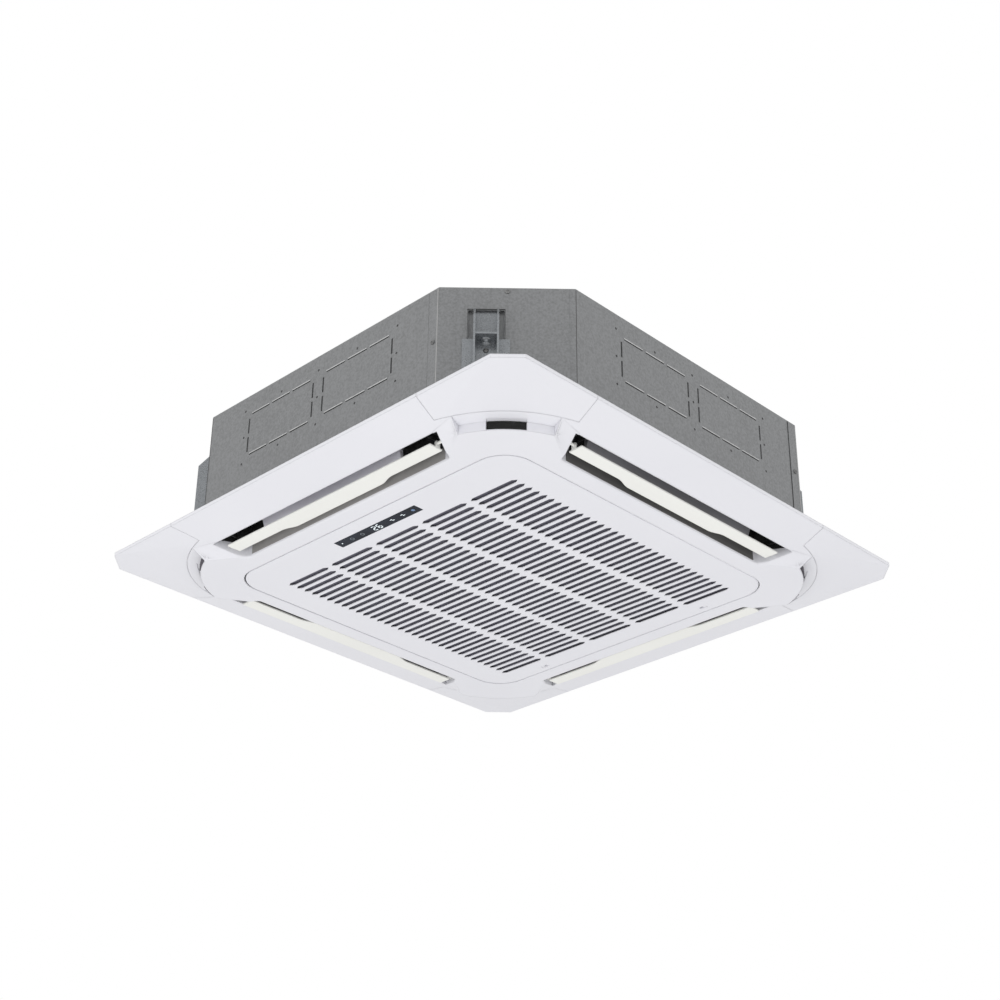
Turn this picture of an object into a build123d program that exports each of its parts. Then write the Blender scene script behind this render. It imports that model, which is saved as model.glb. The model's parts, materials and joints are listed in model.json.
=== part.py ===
from build123d import *
import os
from math import cos, hypot, radians, sin, sqrt

# Ceiling cassette air conditioner, in millimetres, +Z up, panel downwards.
# The origin is the middle of the four hanging bolt holes, at the underside of the
# brackets' shelves. -Y is the side of the grille's display, +X the side to its right.
# Levels are counted from the ceiling line (the top of the panel's rim), up positive.

# ---- driving dimensions: hanging ----
bolt_spacing_x = 666.0
bolt_spacing_y = 754.0
bolt_hole_radius = 6.0
lug_height = 119.5          # shelf underside above the ceiling line

# ---- cabinet ----
body_width = 840.0
body_corner_leg = 145.0     # what the cut-off corner takes from each side
body_top = 219.0
body_bottom = 6.0
sheet = 1.0
fold_strip = 18.0           # side panel's fold behind the corner panel
fold_visible = 10.0         # the part of that fold that the corner panel leaves bare
corner_wrap = 20.0          # corner panel's flange on the next side
bottom_flange = 28.0        # corner panel's inward flange that carries the drain pan
liner_wall = 15.0
liner_top = 12.0
knockout_width = 160.0
knockout_height = 77.0
knockout_spacing = 185.0
knockout_level = 142.0      # middle of the knock-outs
knockout_slit = 2.0
knockout_bridge = 7.0
knockout_border = 2.0       # plain strip inside the perforations
dimple_radius = 2.2
dimple_depth = 0.5
dimple_rows = 50.0          # height between rows of dimples
dimple_pitch = 92.0
screw_head_radius = 4.0
screw_drop = 7.0            # top screw below the cabinet's top
screw_head_height = 2.0
panel_screw_radius = 2.4
panel_screw_bite = 10.0

# ---- hanging bracket ----
bracket_sheet = 3.0
bracket_reach = 25.0        # how far the shelf stands out of the corner panel
bracket_gap = 32.0          # clear width between its two cheeks
bracket_flange_width = 71.0
bracket_bottom = 64.0       # level of the bracket's lower end
bracket_step = 124.0        # level of the top of the wide lower flange
bracket_slope = 154.0       # level where the cheeks start to slope back
bracket_top = 179.0
bracket_screw_level = 104.0
pocket_width = 57.0
pocket_depth = 8.0
pocket_lip = 2.0

# ---- decoration panel ----
panel_width = 950.0
panel_corner_leg = 35.0
rim_height = 6.0
frame_drop = 21.0           # inner edge of the sloped frame, below the ceiling line
face_drop = 36.0            # flat face and grille, below the ceiling line
skin = 2.5
face_skin = 3.0
lobe_half = 405.0           # half width of the raised face's rounded outline
lobe_radius = 168.0
outlet_inner = 352.0        # inner edge of the outlets, from the middle
outlet_half_outer = 262.0   # half length of the outlets' outer edge
outlet_half_inner = 236.0
outlet_corner_radius = 9.0
cover_seam = 270.0          # corner cover's seam beside an outlet
cover_seam_rim = {           # the same seams at the rim, by corner
    "front_right": 292.0,
    "back_right": 252.0,
    "back_left": 285.0,
    "front_left": 285.0,
}
seam_gap = 0.25
scoop_radius = 191.0
scoop_half_angle = 24.5
corner_outlet_half_angle = 10.0
back_plate_half = 430.0
back_plate_leg = 120.0
back_plate_inner = 298.0
back_plate_inner_radius = 30.0
screw_flange_at = 309.0     # panel screws, from the middle
screw_spread = 240.0
plenum_margin = 5.0
blend_overlap = 6.0         # how far the blend starts inside an outlet
blend_top = -16.0
blend_cheek = 0.9           # arc of the wall beside a corner outlet, in degrees
seam_level = -18.0          # level of the corner cover's seam there
lip_radius = 4.0            # rounding of the outlets' inner edge
boss_radius = 6.0
boss_long = 274.0           # outer face of the boss beside a vane motor
boss_short = 257.0
post_near = 320.0
post_far = 412.0
post_radius = 5.0
face_edge = 0.8

# ---- grille ----
door_half = 318.0
door_radius = 52.0
door_gap = 2.0
door_skirt_height = 6.0
door_skirt_inset = 5.0
slot_columns = 5
slot_rows = 32
slot_pitch = 16.5
slot_height = 10.0
slot_point = 8.0            # length of a slot's pointed end
slot_bar_thickness = 1.5
column_pitch = 108.0
column_width = 100.0
slot_shift = 16.5           # the slots' middle lies this far from the display side
hinge_inset = 24.0          # hinge axis from the grille's edge
hinge_rise = 5.0            # hinge axis above the grille's face
hinge_spread = 180.0
hinge_pin_radius = 1.5
hinge_arm_width = 12.0
hinge_arm_radius = 3.2
hinge_ear = 3.0
hinge_foot = 5.0            # thickness of the foot that joins an arm to the back plate
hinge_pocket_floor = 1.2    # what is left of the grille's plate below an arm
display_width = 188.0
display_height = 20.0
display_at = 281.0
latch_spread = 190.0
latch_width = 14.0
latch_length = 26.0
latch_thickness = 3.0
latch_pad = 6.0             # finger pad that shows in the grille's window
latch_travel = 8.0
filter_half_width = 282.0
filter_half_length = 273.0
filter_bar = 4.0
filter_frame_width = 10.0
filter_thickness = 4.0
mesh_thickness = 0.8

# ---- vanes ----
vane_outer = 394.0
vane_inner = 361.0
vane_inner_narrow = 369.0
vane_half_length = 237.0
vane_wide_half = 95.0
vane_blend = 35.0
vane_thickness = 3.0
vane_level = -28.0          # middle of the vane's thickness
vane_axis = 378.0
vane_axis_level = -19.5
vane_pin_radius = 2.5
vane_arm_width = 9.0
vane_arm_thickness = 2.5
vane_motor_radius = 9.0
vane_motor_rise = 5.5       # the motor's body sits higher than its shaft
vane_motor_length = 19.0
motor_bite = 6.0            # how far a vane's pin reaches into its motor

# ---- drain pan and bell mouth ----
pan_top = 39.0
pan_floor = 20.0
trough_inner = 262.0
trough_outer = 334.0
pan_opening = 246.0
pan_opening_radius = 40.0
pan_ledge_width = 10.0
bell_level = 22.0
bell_sheet = 2.5
bell_mouth_radius = 214.0
throat_radius = 180.0
throat_top = 66.0
throat_bow = 9.0
throat_bow_rise = 12.0
plug_radius = 11.0
plug_flange = 3.0
plug_at = 275.0

# ---- fan ----
motor_radius = 75.0
motor_bottom = 136.0
motor_top = 205.0
motor_edge = 10.0
motor_lug_circle = 92.0
motor_lug_radius = 14.0
motor_lug_thickness = 5.0
damper_radius = 11.0
shaft_radius = 6.0
shaft_bottom = 104.0
shaft_top = 176.0
hub_radius = 20.0
hub_bottom = 114.0
hub_cup_level = 122.0
hub_cup_radius = 90.0
fan_skin = 3.0
fan_radius = 230.0
fan_top = 197.0
shroud_eye_radius = 188.0
shroud_bottom = 60.0
shroud_rim_level = 90.0
shroud_bow = 11.0           # how far the shroud's curve sags from its straight chord
blade_count = 7
blade_root_radius = 158.0
blade_thickness = 4.0
blade_sweep = 34.0
blade_bow = 0.36            # share of the sweep done at half the blade's length
nut_across_flats = 19.0
nut_height = 8.0

# ---- heat exchanger, pump and pipes ----
coil_inner = 266.0
coil_outer = 322.0
coil_corner_radius = 48.0
coil_top = 204.0
coil_end_back = 190.0       # where the coil stops along the back side
coil_end_left = 200.0       # where it stops along the left side
fin_groove = 1.2
fin_depth = 2.5
fin_pitch = 12.0
fin_count = 40
end_plate = 1.5
bend_radius = 10.0
bend_tube_radius = 3.5
bend_rows = 6
bend_pitch = 28.0
gas_radius = 7.94
liquid_radius = 4.76
gas_thread_radius = 11.1
liquid_thread_radius = 7.9
gas_at = 44.0               # along the back left corner panel
liquid_at = 70.0
gas_level = 134.0
liquid_level = 159.0
pipe_reach = 62.0
thread_length = 18.0
pipe_margin = 4.0
pipe_wall = 1.0
pipe_cover_margin = 34.0
pipe_cover_height = 62.0
header_bottom = 34.0
gas_header_gap = 12.0
liquid_header_gap = 8.0
pump_radius = 24.0
pump_bottom = 54.0
pump_top = 140.0
pump_x = -232.0
pump_y = 300.0
drain_radius = 16.0
drain_level = 169.0
drain_reach = 60.0
drain_bore = 13.0
drain_flange = 2.5
float_radius = 12.0
float_height = 14.0
float_travel = 10.0
float_stem_radius = 4.0
float_cap_radius = 7.0
float_base = 2.0
float_x = -296.0
float_y = 262.0

# ---- electrics ----
box_half_length = 165.0
box_near = 192.0
box_far = 234.0
box_height = 40.0
box_sheet = 1.2
board_thickness = 1.6
board_standoff = 8.0
grommet_bore = 9.0
grommet_wall = 3.0
grommet_y = 215.0
grommet_level = 190.0

# ---- fits ----
running = 0.05              # radial clearance of a turning fit
free = 0.4                  # gap between pieces that are put together by hand
face_gap = 0.3              # gap to a seat that a piece rests near

body_half = body_width / 2
panel_half = panel_width / 2
body_inside = body_half - sheet
liner_inside = body_inside - liner_wall
axis_diagonal = (2 * body_half - body_corner_leg) / sqrt(2)
side_half = body_half - body_corner_leg
lobe_center = lobe_half - lobe_radius
slant = (outlet_half_outer - outlet_half_inner) / (lobe_half - outlet_inner)


def z(level):
    """Height in the part's frame of a level above the ceiling line."""
    return level - lug_height


def flat(level, turn=0):
    """Horizontal plane at a level, turned about the vertical axis."""
    return Plane(
        origin=(0, 0, z(level)), x_dir=(cos(radians(turn)), sin(radians(turn)), 0), z_dir=(0, 0, 1)
    )


def side_face(turn, distance):
    """Upright plane facing outwards on one side; its y is the level."""
    a = radians(turn)
    return Plane(
        origin=(distance * sin(a), -distance * cos(a), z(0)),
        x_dir=(cos(a), sin(a), 0),
        z_dir=(sin(a), -cos(a), 0),
    )


def corner_face(turn, distance):
    """Upright plane facing outwards on one cut-off corner; its y is the level."""
    return side_face(turn + 45, distance)


def octagon(half, leg, mode=Mode.ADD):
    """Square with its corners cut off."""
    points = []
    for turn in range(4):
        a = radians(90 * turn)
        for x, y in ((-(half - leg), -half), (half - leg, -half)):
            points.append((x * cos(a) - y * sin(a), x * sin(a) + y * cos(a)))
    return Polygon(*points, align=None, mode=mode)


def rounded(half, radius, mode=Mode.ADD):
    """Square with round corners."""
    return RectangleRounded(2 * half, 2 * half, radius, mode=mode)


def outlet_shape(grow=0.0):
    """Plan of the outlet on the front side, a long trapezoid, grown outwards."""
    lean = grow * hypot(1, slant)
    outer = outlet_half_outer + slant * grow + lean
    inner = outlet_half_inner - slant * grow + lean
    with BuildSketch(mode=Mode.PRIVATE) as shape:
        Polygon(
            (-outer, -lobe_half - grow),
            (outer, -lobe_half - grow),
            (inner, -outlet_inner + grow),
            (-inner, -outlet_inner + grow),
            align=None,
        )
        fillet(shape.vertices().group_by(Axis.Y)[-1], outlet_corner_radius + max(grow, 0))
    return shape.sketch


def four_outlets(grow=0.0, mode=Mode.SUBTRACT):
    """The four outlets, in an open sketch."""
    shape = outlet_shape(grow)
    with PolarLocations(0, 4):
        add(shape, mode=mode)


def save(piece, name):
    """Label a finished piece and write it as one file."""
    piece.label = name
    export_step(piece, f"parts/{name}.step")


os.makedirs("parts", exist_ok=True)
sides = {"front": 0, "right": 90, "back": 180, "left": 270}
corners = {"front_right": 0, "back_right": 90, "back_left": 180, "front_left": 270}

# ======== cabinet ========
wall_bottom = body_bottom + sheet
wall_height = body_top - sheet - wall_bottom
shelf_diagonal = (bolt_spacing_x + bolt_spacing_y) / 2 / sqrt(2)
bolt_reach = shelf_diagonal - axis_diagonal - sheet
bracket_shift = (bolt_spacing_y - bolt_spacing_x) / 2 / sqrt(2)
pocket_bottom = bracket_step + pocket_lip
pocket_height = bracket_top - pocket_bottom + 1
fold = fold_strip / sqrt(2)
lean = fold_visible / sqrt(2)
corner_length = body_corner_leg * sqrt(2)


def knockout_slits():
    """Centres and sizes of the perforations round one knock-out."""
    long = (knockout_width - 4 * knockout_bridge) / 3
    short = (knockout_height - 3 * knockout_bridge) / 2
    slits = []
    for edge in (-1, 1):
        for step in (-1, 0, 1):
            across = step * (long + knockout_bridge)
            slits.append((across, edge * knockout_height / 2, long, knockout_slit))
        for step in (-0.5, 0.5):
            up = step * (short + knockout_bridge)
            slits.append((edge * knockout_width / 2, up, knockout_slit, short))
    return slits


for name, turn in sides.items():
    with BuildPart() as side_panel:
        with BuildSketch(flat(wall_bottom, turn)):
            with BuildLine():
                Polyline(
                    (-side_half - fold, -body_half + fold),
                    (-side_half, -body_half),
                    (side_half - free, -body_half),
                )
                offset(amount=sheet, side=Side.LEFT)
            make_face()
        extrude(amount=wall_height)
        with BuildSketch(side_face(turn, body_half)):
            for middle in (-knockout_spacing / 2, knockout_spacing / 2):
                for x, y, width, height in knockout_slits():
                    with Locations((middle + x, knockout_level + y)):
                        Rectangle(width, height)
        extrude(amount=-sheet, mode=Mode.SUBTRACT)
        with BuildSketch(side_face(turn, body_half)):
            with Locations((0, knockout_level)):
                with GridLocations(dimple_pitch, dimple_rows, 5, 3):
                    Circle(dimple_radius)
            for middle in (-knockout_spacing / 2, knockout_spacing / 2):
                with Locations((middle, knockout_level)):
                    Rectangle(
                        knockout_width - 2 * knockout_border,
                        knockout_height - 2 * knockout_border,
                        mode=Mode.SUBTRACT,
                    )
        extrude(amount=-dimple_depth, mode=Mode.SUBTRACT)
        if name == "back":
            with BuildSketch(side_face(turn, body_half)):
                with Locations((-pump_x, drain_level)):
                    Circle(drain_radius + free)
            extrude(amount=-sheet, mode=Mode.SUBTRACT)
        if name == "left":
            with BuildSketch(side_face(turn, body_half)):
                with Locations((-grommet_y, grommet_level)):
                    Circle(grommet_bore + grommet_wall + running)
            extrude(amount=-sheet, mode=Mode.SUBTRACT)
    save(side_panel.part, f"side_panel_{name}")

for name, turn in corners.items():
    shift = -bracket_shift if turn % 180 == 0 else bracket_shift
    with BuildPart() as corner_panel:
        with BuildSketch(flat(body_bottom, turn)):
            with BuildLine():
                Polyline(
                    (side_half - corner_wrap, -body_half),
                    (side_half, -body_half),
                    (body_half - lean, -side_half - lean),
                )
                offset(amount=sheet, side=Side.RIGHT)
            make_face()
        extrude(amount=wall_height + sheet)
        with BuildSketch(flat(body_bottom, turn + 45)):
            with Locations((0, -axis_diagonal - sheet + bottom_flange / 2)):
                Rectangle(corner_length - 2 * fold_visible, bottom_flange)
        extrude(amount=sheet)
        with BuildSketch(corner_face(turn, axis_diagonal + sheet)):
            with Locations((shift, pocket_bottom + pocket_height / 2)):
                Rectangle(pocket_width, pocket_height)
            if name == "back_left":
                with Locations((gas_at, gas_level)):
                    Circle(gas_radius + pipe_margin)
                with Locations((liquid_at, liquid_level)):
                    Circle(liquid_radius + pipe_margin)
        extrude(amount=-sheet, mode=Mode.SUBTRACT)
    save(corner_panel.part, f"corner_panel_{name}")

    # folded bracket: two cheeks, a drilled shelf, a wide lower flange and a back in the pocket
    cheek = Plane(
        origin=corner_face(turn, axis_diagonal + sheet).from_local_coords((shift, 0, 0)),
        x_dir=corner_face(turn, 0).z_dir,
        z_dir=-corner_face(turn, 0).x_dir,
    )
    with BuildPart() as hanging_bracket:
        for edge in (-1, 1):
            with BuildSketch(cheek.offset(edge * bracket_gap / 2)):
                Polygon(
                    (0, bracket_bottom),
                    (bracket_reach, bracket_bottom),
                    (bracket_reach, bracket_slope),
                    (bracket_sheet, bracket_top),
                    (-pocket_depth, bracket_top),
                    (-pocket_depth, pocket_bottom + free),
                    (0, pocket_bottom + free),
                    align=None,
                )
            extrude(amount=edge * bracket_sheet)
        with BuildSketch(cheek.offset(-bracket_gap / 2)):
            with Locations((bracket_reach / 2, lug_height + bracket_sheet / 2)):
                Rectangle(bracket_reach, bracket_sheet)
            with Locations((-pocket_depth + bracket_sheet / 2, (pocket_bottom + bracket_top) / 2)):
                Rectangle(bracket_sheet, bracket_top - pocket_bottom - 2 * free)
        extrude(amount=bracket_gap)
        with BuildSketch(corner_face(turn, axis_diagonal + sheet)):
            with Locations((shift, (bracket_bottom + bracket_step) / 2)):
                Rectangle(bracket_flange_width, bracket_step - bracket_bottom)
        extrude(amount=bracket_sheet)
        with BuildSketch(flat(lug_height, turn + 45)):
            with Locations((shift, -axis_diagonal - sheet - bolt_reach)):
                Circle(bolt_hole_radius)
        extrude(amount=bracket_sheet, mode=Mode.SUBTRACT)
    save(hanging_bracket.part, f"hanging_bracket_{name}")

with BuildPart() as top_panel:
    with BuildSketch(flat(body_top - sheet)):
        octagon(body_half, body_corner_leg)
    extrude(amount=sheet)
save(top_panel.part, "top_panel")

with BuildPart() as body_screws:
    for turn in corners.values():
        with BuildSketch(corner_face(turn, axis_diagonal + sheet)):
            with Locations((0, body_top - screw_drop)):
                Circle(screw_head_radius)
        extrude(amount=screw_head_height)
        with BuildSketch(side_face(turn, body_half + sheet)):
            for level in (bracket_step, bracket_bottom / 2):
                with Locations((side_half - corner_wrap / 2, level)):
                    Circle(screw_head_radius)
        extrude(amount=screw_head_height)
        shift = -bracket_shift if turn % 180 == 0 else bracket_shift
        with BuildSketch(corner_face(turn, axis_diagonal + sheet + bracket_sheet)):
            with Locations((shift, bracket_screw_level)):
                Circle(screw_head_radius)
        extrude(amount=screw_head_height)
    fillet(body_screws.edges().filter_by(GeomType.CIRCLE), screw_head_height / 4)
save(body_screws.part, "body_screws")


def leg_for(half, diagonal):
    """Corner leg of an octagon whose cut-off faces lie at a distance from the axis."""
    return 2 * half - sqrt(2) * diagonal


outer_diagonal = axis_diagonal - sheet
inner_diagonal = outer_diagonal - liner_wall
joint_angle = 22.5 - 90       # a joint runs along the bisector of the octagon's corner
joint_y = (body_inside + liner_inside) / 2
joint_x = joint_y - (leg_for(body_inside, outer_diagonal) + leg_for(liner_inside, inner_diagonal)) / 2
with BuildPart() as foam_liner:
    with BuildSketch(flat(wall_bottom)):
        octagon(body_inside, leg_for(body_inside, outer_diagonal))
    extrude(amount=wall_height)
    with BuildSketch(flat(wall_bottom)):
        octagon(liner_inside, leg_for(liner_inside, inner_diagonal))
    extrude(amount=wall_height - liner_top, mode=Mode.SUBTRACT)
    with BuildSketch(flat(body_top - sheet - liner_top)):
        with PolarLocations(motor_lug_circle, 3):
            Circle(damper_radius + free)
    extrude(amount=liner_top, mode=Mode.SUBTRACT)
    for turn in corners.values():
        shift = -bracket_shift if turn % 180 == 0 else bracket_shift
        with BuildSketch(corner_face(turn, axis_diagonal)):
            with Locations((shift, pocket_bottom + pocket_height / 2)):
                Rectangle(pocket_width, pocket_height)
        extrude(amount=sheet - pocket_depth, mode=Mode.SUBTRACT)
    with BuildSketch(corner_face(corners["back_left"], axis_diagonal)):
        with Locations((gas_at, gas_level)):
            Circle(gas_radius + pipe_margin)
        with Locations((liquid_at, liquid_level)):
            Circle(liquid_radius + pipe_margin)
    extrude(amount=-2 * liner_wall, mode=Mode.SUBTRACT)
    with BuildSketch(side_face(sides["back"], body_half)):
        with Locations((-pump_x, drain_level)):
            Circle(drain_radius + free)
    extrude(amount=-2 * liner_wall, mode=Mode.SUBTRACT)
    with BuildSketch(side_face(sides["left"], body_half)):
        with Locations((-grommet_y, grommet_level)):
            Circle(grommet_bore + grommet_wall + running)
    extrude(amount=-2 * liner_wall, mode=Mode.SUBTRACT)
    # joints between the nine sheets: at the octagon's corners and below the top sheet
    with BuildSketch(flat(wall_bottom)):
        with PolarLocations(0, 4):
            for edge in (-1, 1):
                with Locations(Location((edge * joint_x, -joint_y, 0), edge * joint_angle)):
                    Rectangle(3 * liner_wall, free)
    extrude(amount=wall_height - liner_top, mode=Mode.SUBTRACT)
    with BuildSketch(flat(body_top - sheet - liner_top)):
        octagon(body_inside, leg_for(body_inside, outer_diagonal))
    extrude(amount=-free, mode=Mode.SUBTRACT)
save(foam_liner.part, "foam_liner")

# ======== fan ========
with BuildPart() as fan_motor:
    with BuildSketch(flat(motor_bottom)):
        Circle(motor_radius)
    extrude(amount=motor_top - motor_bottom)
    fillet(fan_motor.faces().sort_by(Axis.Z)[0].edges(), motor_edge)
    with BuildSketch(flat(motor_top - motor_lug_thickness)):
        with PolarLocations(motor_lug_circle, 3):
            Circle(motor_lug_radius)
        with PolarLocations((motor_lug_circle + motor_radius / 2) / 2, 3):
            Rectangle(motor_lug_circle - motor_radius / 2, 2 * motor_lug_radius)
    extrude(amount=motor_lug_thickness)
    with BuildSketch(flat(motor_bottom)):
        Circle(shaft_radius + running)
    extrude(amount=shaft_top + face_gap - motor_bottom, mode=Mode.SUBTRACT)
save(fan_motor.part, "fan_motor")

with BuildPart() as motor_dampers:
    with BuildSketch(flat(motor_top)):
        with PolarLocations(motor_lug_circle, 3):
            Circle(damper_radius)
    extrude(amount=body_top - sheet - motor_top)
save(motor_dampers.part, "motor_dampers")

with BuildPart() as motor_shaft:
    with BuildSketch(flat(shaft_bottom)):
        Circle(shaft_radius)
    extrude(amount=shaft_top - shaft_bottom)
    chamfer(motor_shaft.faces().sort_by(Axis.Z)[0].edges(), shaft_radius / 8)
save(motor_shaft.part, "motor_shaft")


def upright():
    """Plane through the axis for profiles that are turned: x is the radius, y the level."""
    return Plane(origin=(0, 0, z(0)), x_dir=(1, 0, 0), z_dir=(0, -1, 0))


with BuildPart() as fan_wheel:
    with BuildSketch(upright()):
        with BuildLine():
            Polyline(
                (shaft_radius + running, hub_bottom),
                (hub_radius, hub_bottom),
                (hub_radius, hub_cup_level),
                (hub_cup_radius, hub_cup_level),
                (hub_cup_radius + fan_skin, fan_top - fan_skin),
                (fan_radius, fan_top - fan_skin),
                (fan_radius, fan_top),
                (hub_cup_radius, fan_top),
                (hub_cup_radius - fan_skin, hub_cup_level + fan_skin),
                (hub_radius, hub_cup_level + fan_skin),
                (hub_radius, hub_cup_level + 2 * fan_skin),
                (shaft_radius + running, hub_cup_level + 2 * fan_skin),
                close=True,
            )
        make_face()
    revolve(axis=Axis.Z)
    with BuildSketch(upright()):
        with BuildLine():
            Line((shroud_eye_radius, shroud_bottom), (shroud_eye_radius, shroud_bottom + fan_skin))
            ThreePointArc(
                (shroud_eye_radius, shroud_bottom + fan_skin),
                (shroud_eye_radius + shroud_bow, shroud_rim_level - shroud_bow + fan_skin),
                (fan_radius, shroud_rim_level),
            )
            Line((fan_radius, shroud_rim_level), (fan_radius, shroud_rim_level - fan_skin))
            ThreePointArc(
                (fan_radius, shroud_rim_level - fan_skin),
                (shroud_eye_radius + shroud_bow + fan_skin / 2, shroud_rim_level - shroud_bow),
                (shroud_eye_radius + fan_skin, shroud_bottom),
            )
            Line((shroud_eye_radius + fan_skin, shroud_bottom), (shroud_eye_radius, shroud_bottom))
        make_face()
    revolve(axis=Axis.Z)
    with BuildSketch(flat(shroud_rim_level - fan_skin)):
        with PolarLocations(0, blade_count):
            with BuildLine(mode=Mode.PRIVATE) as blade:
                sweep_end = radians(blade_sweep)
                middle = (blade_root_radius + fan_radius) / 2
                ThreePointArc(
                    (blade_root_radius, 0),
                    (middle * cos(sweep_end * blade_bow), -middle * sin(sweep_end * blade_bow)),
                    ((fan_radius - 1) * cos(sweep_end), -(fan_radius - 1) * sin(sweep_end)),
                )
                offset(amount=blade_thickness, side=Side.LEFT)
            add(make_face(blade.edges(), mode=Mode.PRIVATE))
    extrude(amount=fan_top - shroud_rim_level)
save(fan_wheel.part, "fan_wheel")

with BuildPart() as fan_nut:
    with BuildSketch(flat(hub_bottom)):
        RegularPolygon(nut_across_flats / 2, 6, major_radius=False)
        Circle(shaft_radius + running, mode=Mode.SUBTRACT)
    extrude(amount=-nut_height)
save(fan_nut.part, "fan_nut")

# ======== drain pan and bell mouth ========
ledge_bottom = bell_level + bell_sheet
with BuildPart() as drain_pan:
    with BuildSketch(flat(wall_bottom)):
        octagon(liner_inside - free, leg_for(liner_inside - free, inner_diagonal - free))
    extrude(amount=pan_top - wall_bottom)
    with BuildSketch(flat(wall_bottom)):
        four_outlets(sheet, mode=Mode.ADD)
        rounded(pan_opening - pan_ledge_width, pan_opening_radius - pan_ledge_width)
    extrude(amount=pan_top - wall_bottom, mode=Mode.SUBTRACT)
    with BuildSketch(flat(wall_bottom)):
        rounded(pan_opening, pan_opening_radius)
    extrude(amount=ledge_bottom - wall_bottom, mode=Mode.SUBTRACT)
    with BuildSketch(flat(pan_floor)):
        rounded(trough_outer, coil_corner_radius + trough_outer - coil_outer)
        rounded(trough_inner, coil_corner_radius / 2, mode=Mode.SUBTRACT)
    extrude(amount=pan_top - pan_floor, mode=Mode.SUBTRACT)
    with BuildSketch(flat(wall_bottom)):
        with Locations((-plug_at, plug_at)):
            Circle(plug_radius + running)
        with GridLocations(2 * screw_flange_at, 2 * screw_spread, 2, 2):
            Circle(panel_screw_radius + running)
    extrude(amount=pan_floor - wall_bottom, mode=Mode.SUBTRACT)
save(drain_pan.part, "drain_pan")

with BuildPart() as drain_plug:
    with BuildSketch(flat(wall_bottom)):
        with Locations((-plug_at, plug_at)):
            Circle(plug_radius)
    extrude(amount=pan_floor - wall_bottom)
    with BuildSketch(flat(wall_bottom)):
        with Locations((-plug_at, plug_at)):
            Circle(plug_radius + plug_flange)
    extrude(amount=-plug_flange)
save(drain_plug.part, "drain_plug")

with BuildPart() as bell_mouth:
    with BuildSketch(flat(bell_level)):
        rounded(pan_opening - free, pan_opening_radius - free)
        Circle(bell_mouth_radius, mode=Mode.SUBTRACT)
    extrude(amount=bell_sheet)
    with BuildSketch(upright()):
        with BuildLine():
            Line((bell_mouth_radius + bell_sheet, bell_level), (bell_mouth_radius, bell_level))
            ThreePointArc(
                (bell_mouth_radius, bell_level),
                (throat_radius + throat_bow, bell_level + throat_bow_rise),
                (throat_radius, throat_top),
            )
            Line((throat_radius, throat_top), (throat_radius + bell_sheet, throat_top))
            ThreePointArc(
                (throat_radius + bell_sheet, throat_top),
                (throat_radius + throat_bow + bell_sheet, bell_level + throat_bow_rise + bell_sheet / 2),
                (bell_mouth_radius + bell_sheet, bell_level + bell_sheet),
            )
            Line(
                (bell_mouth_radius + bell_sheet, bell_level + bell_sheet),
                (bell_mouth_radius + bell_sheet, bell_level),
            )
        make_face()
    revolve(axis=Axis.Z)
save(bell_mouth.part, "bell_mouth")

# ======== heat exchanger ========
coil_middle = (coil_inner + coil_outer) / 2
coil_depth = coil_outer - coil_inner
with BuildPart() as coil_fins:
    with BuildSketch(flat(pan_floor)):
        rounded(coil_outer, coil_corner_radius)
        rounded(coil_inner, coil_corner_radius / 2, mode=Mode.SUBTRACT)
        with PolarLocations(0, 4):
            for edge in (-coil_inner, -coil_outer):
                with Locations((0, edge)):
                    with GridLocations(fin_pitch, 1, fin_count, 1):
                        Rectangle(fin_groove, 2 * fin_depth, mode=Mode.SUBTRACT)
        with Locations((-coil_end_back, coil_end_left)):
            Rectangle(coil_outer, coil_outer, align=(Align.MAX, Align.MIN), mode=Mode.SUBTRACT)
    extrude(amount=coil_top - pan_floor)
save(coil_fins.part, "coil_fins")

with BuildPart() as coil_end_plates:
    with BuildSketch(flat(pan_floor)):
        with Locations((-coil_end_back - end_plate / 2, coil_middle)):
            Rectangle(end_plate, coil_depth)
        with Locations((-coil_middle, coil_end_left + end_plate / 2)):
            Rectangle(coil_depth, end_plate)
    extrude(amount=coil_top - pan_floor)
save(coil_end_plates.part, "coil_end_plates")

bend_face = Plane(
    origin=(-coil_end_back - end_plate, coil_middle, z(0)), x_dir=(0, 1, 0), z_dir=(-1, 0, 0)
)
with BuildPart() as coil_bends:
    for column in (-1, 0, 1):
        for row in range(bend_rows):
            level = pan_floor + bend_pitch * (row + 0.75) + column * bend_radius / 2
            across = -column * coil_depth / 3
            with BuildSketch(bend_face):
                with Locations((across, -level)):
                    with Locations((0, bend_radius)):
                        Circle(bend_tube_radius)
            revolve(
                axis=Axis(bend_face.from_local_coords((across, -level, 0)), (0, 1, 0)),
                revolution_arc=180,
            )
save(coil_bends.part, "coil_bends")

pipe_corner = corner_face(corners["back_left"], axis_diagonal + sheet)


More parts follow.
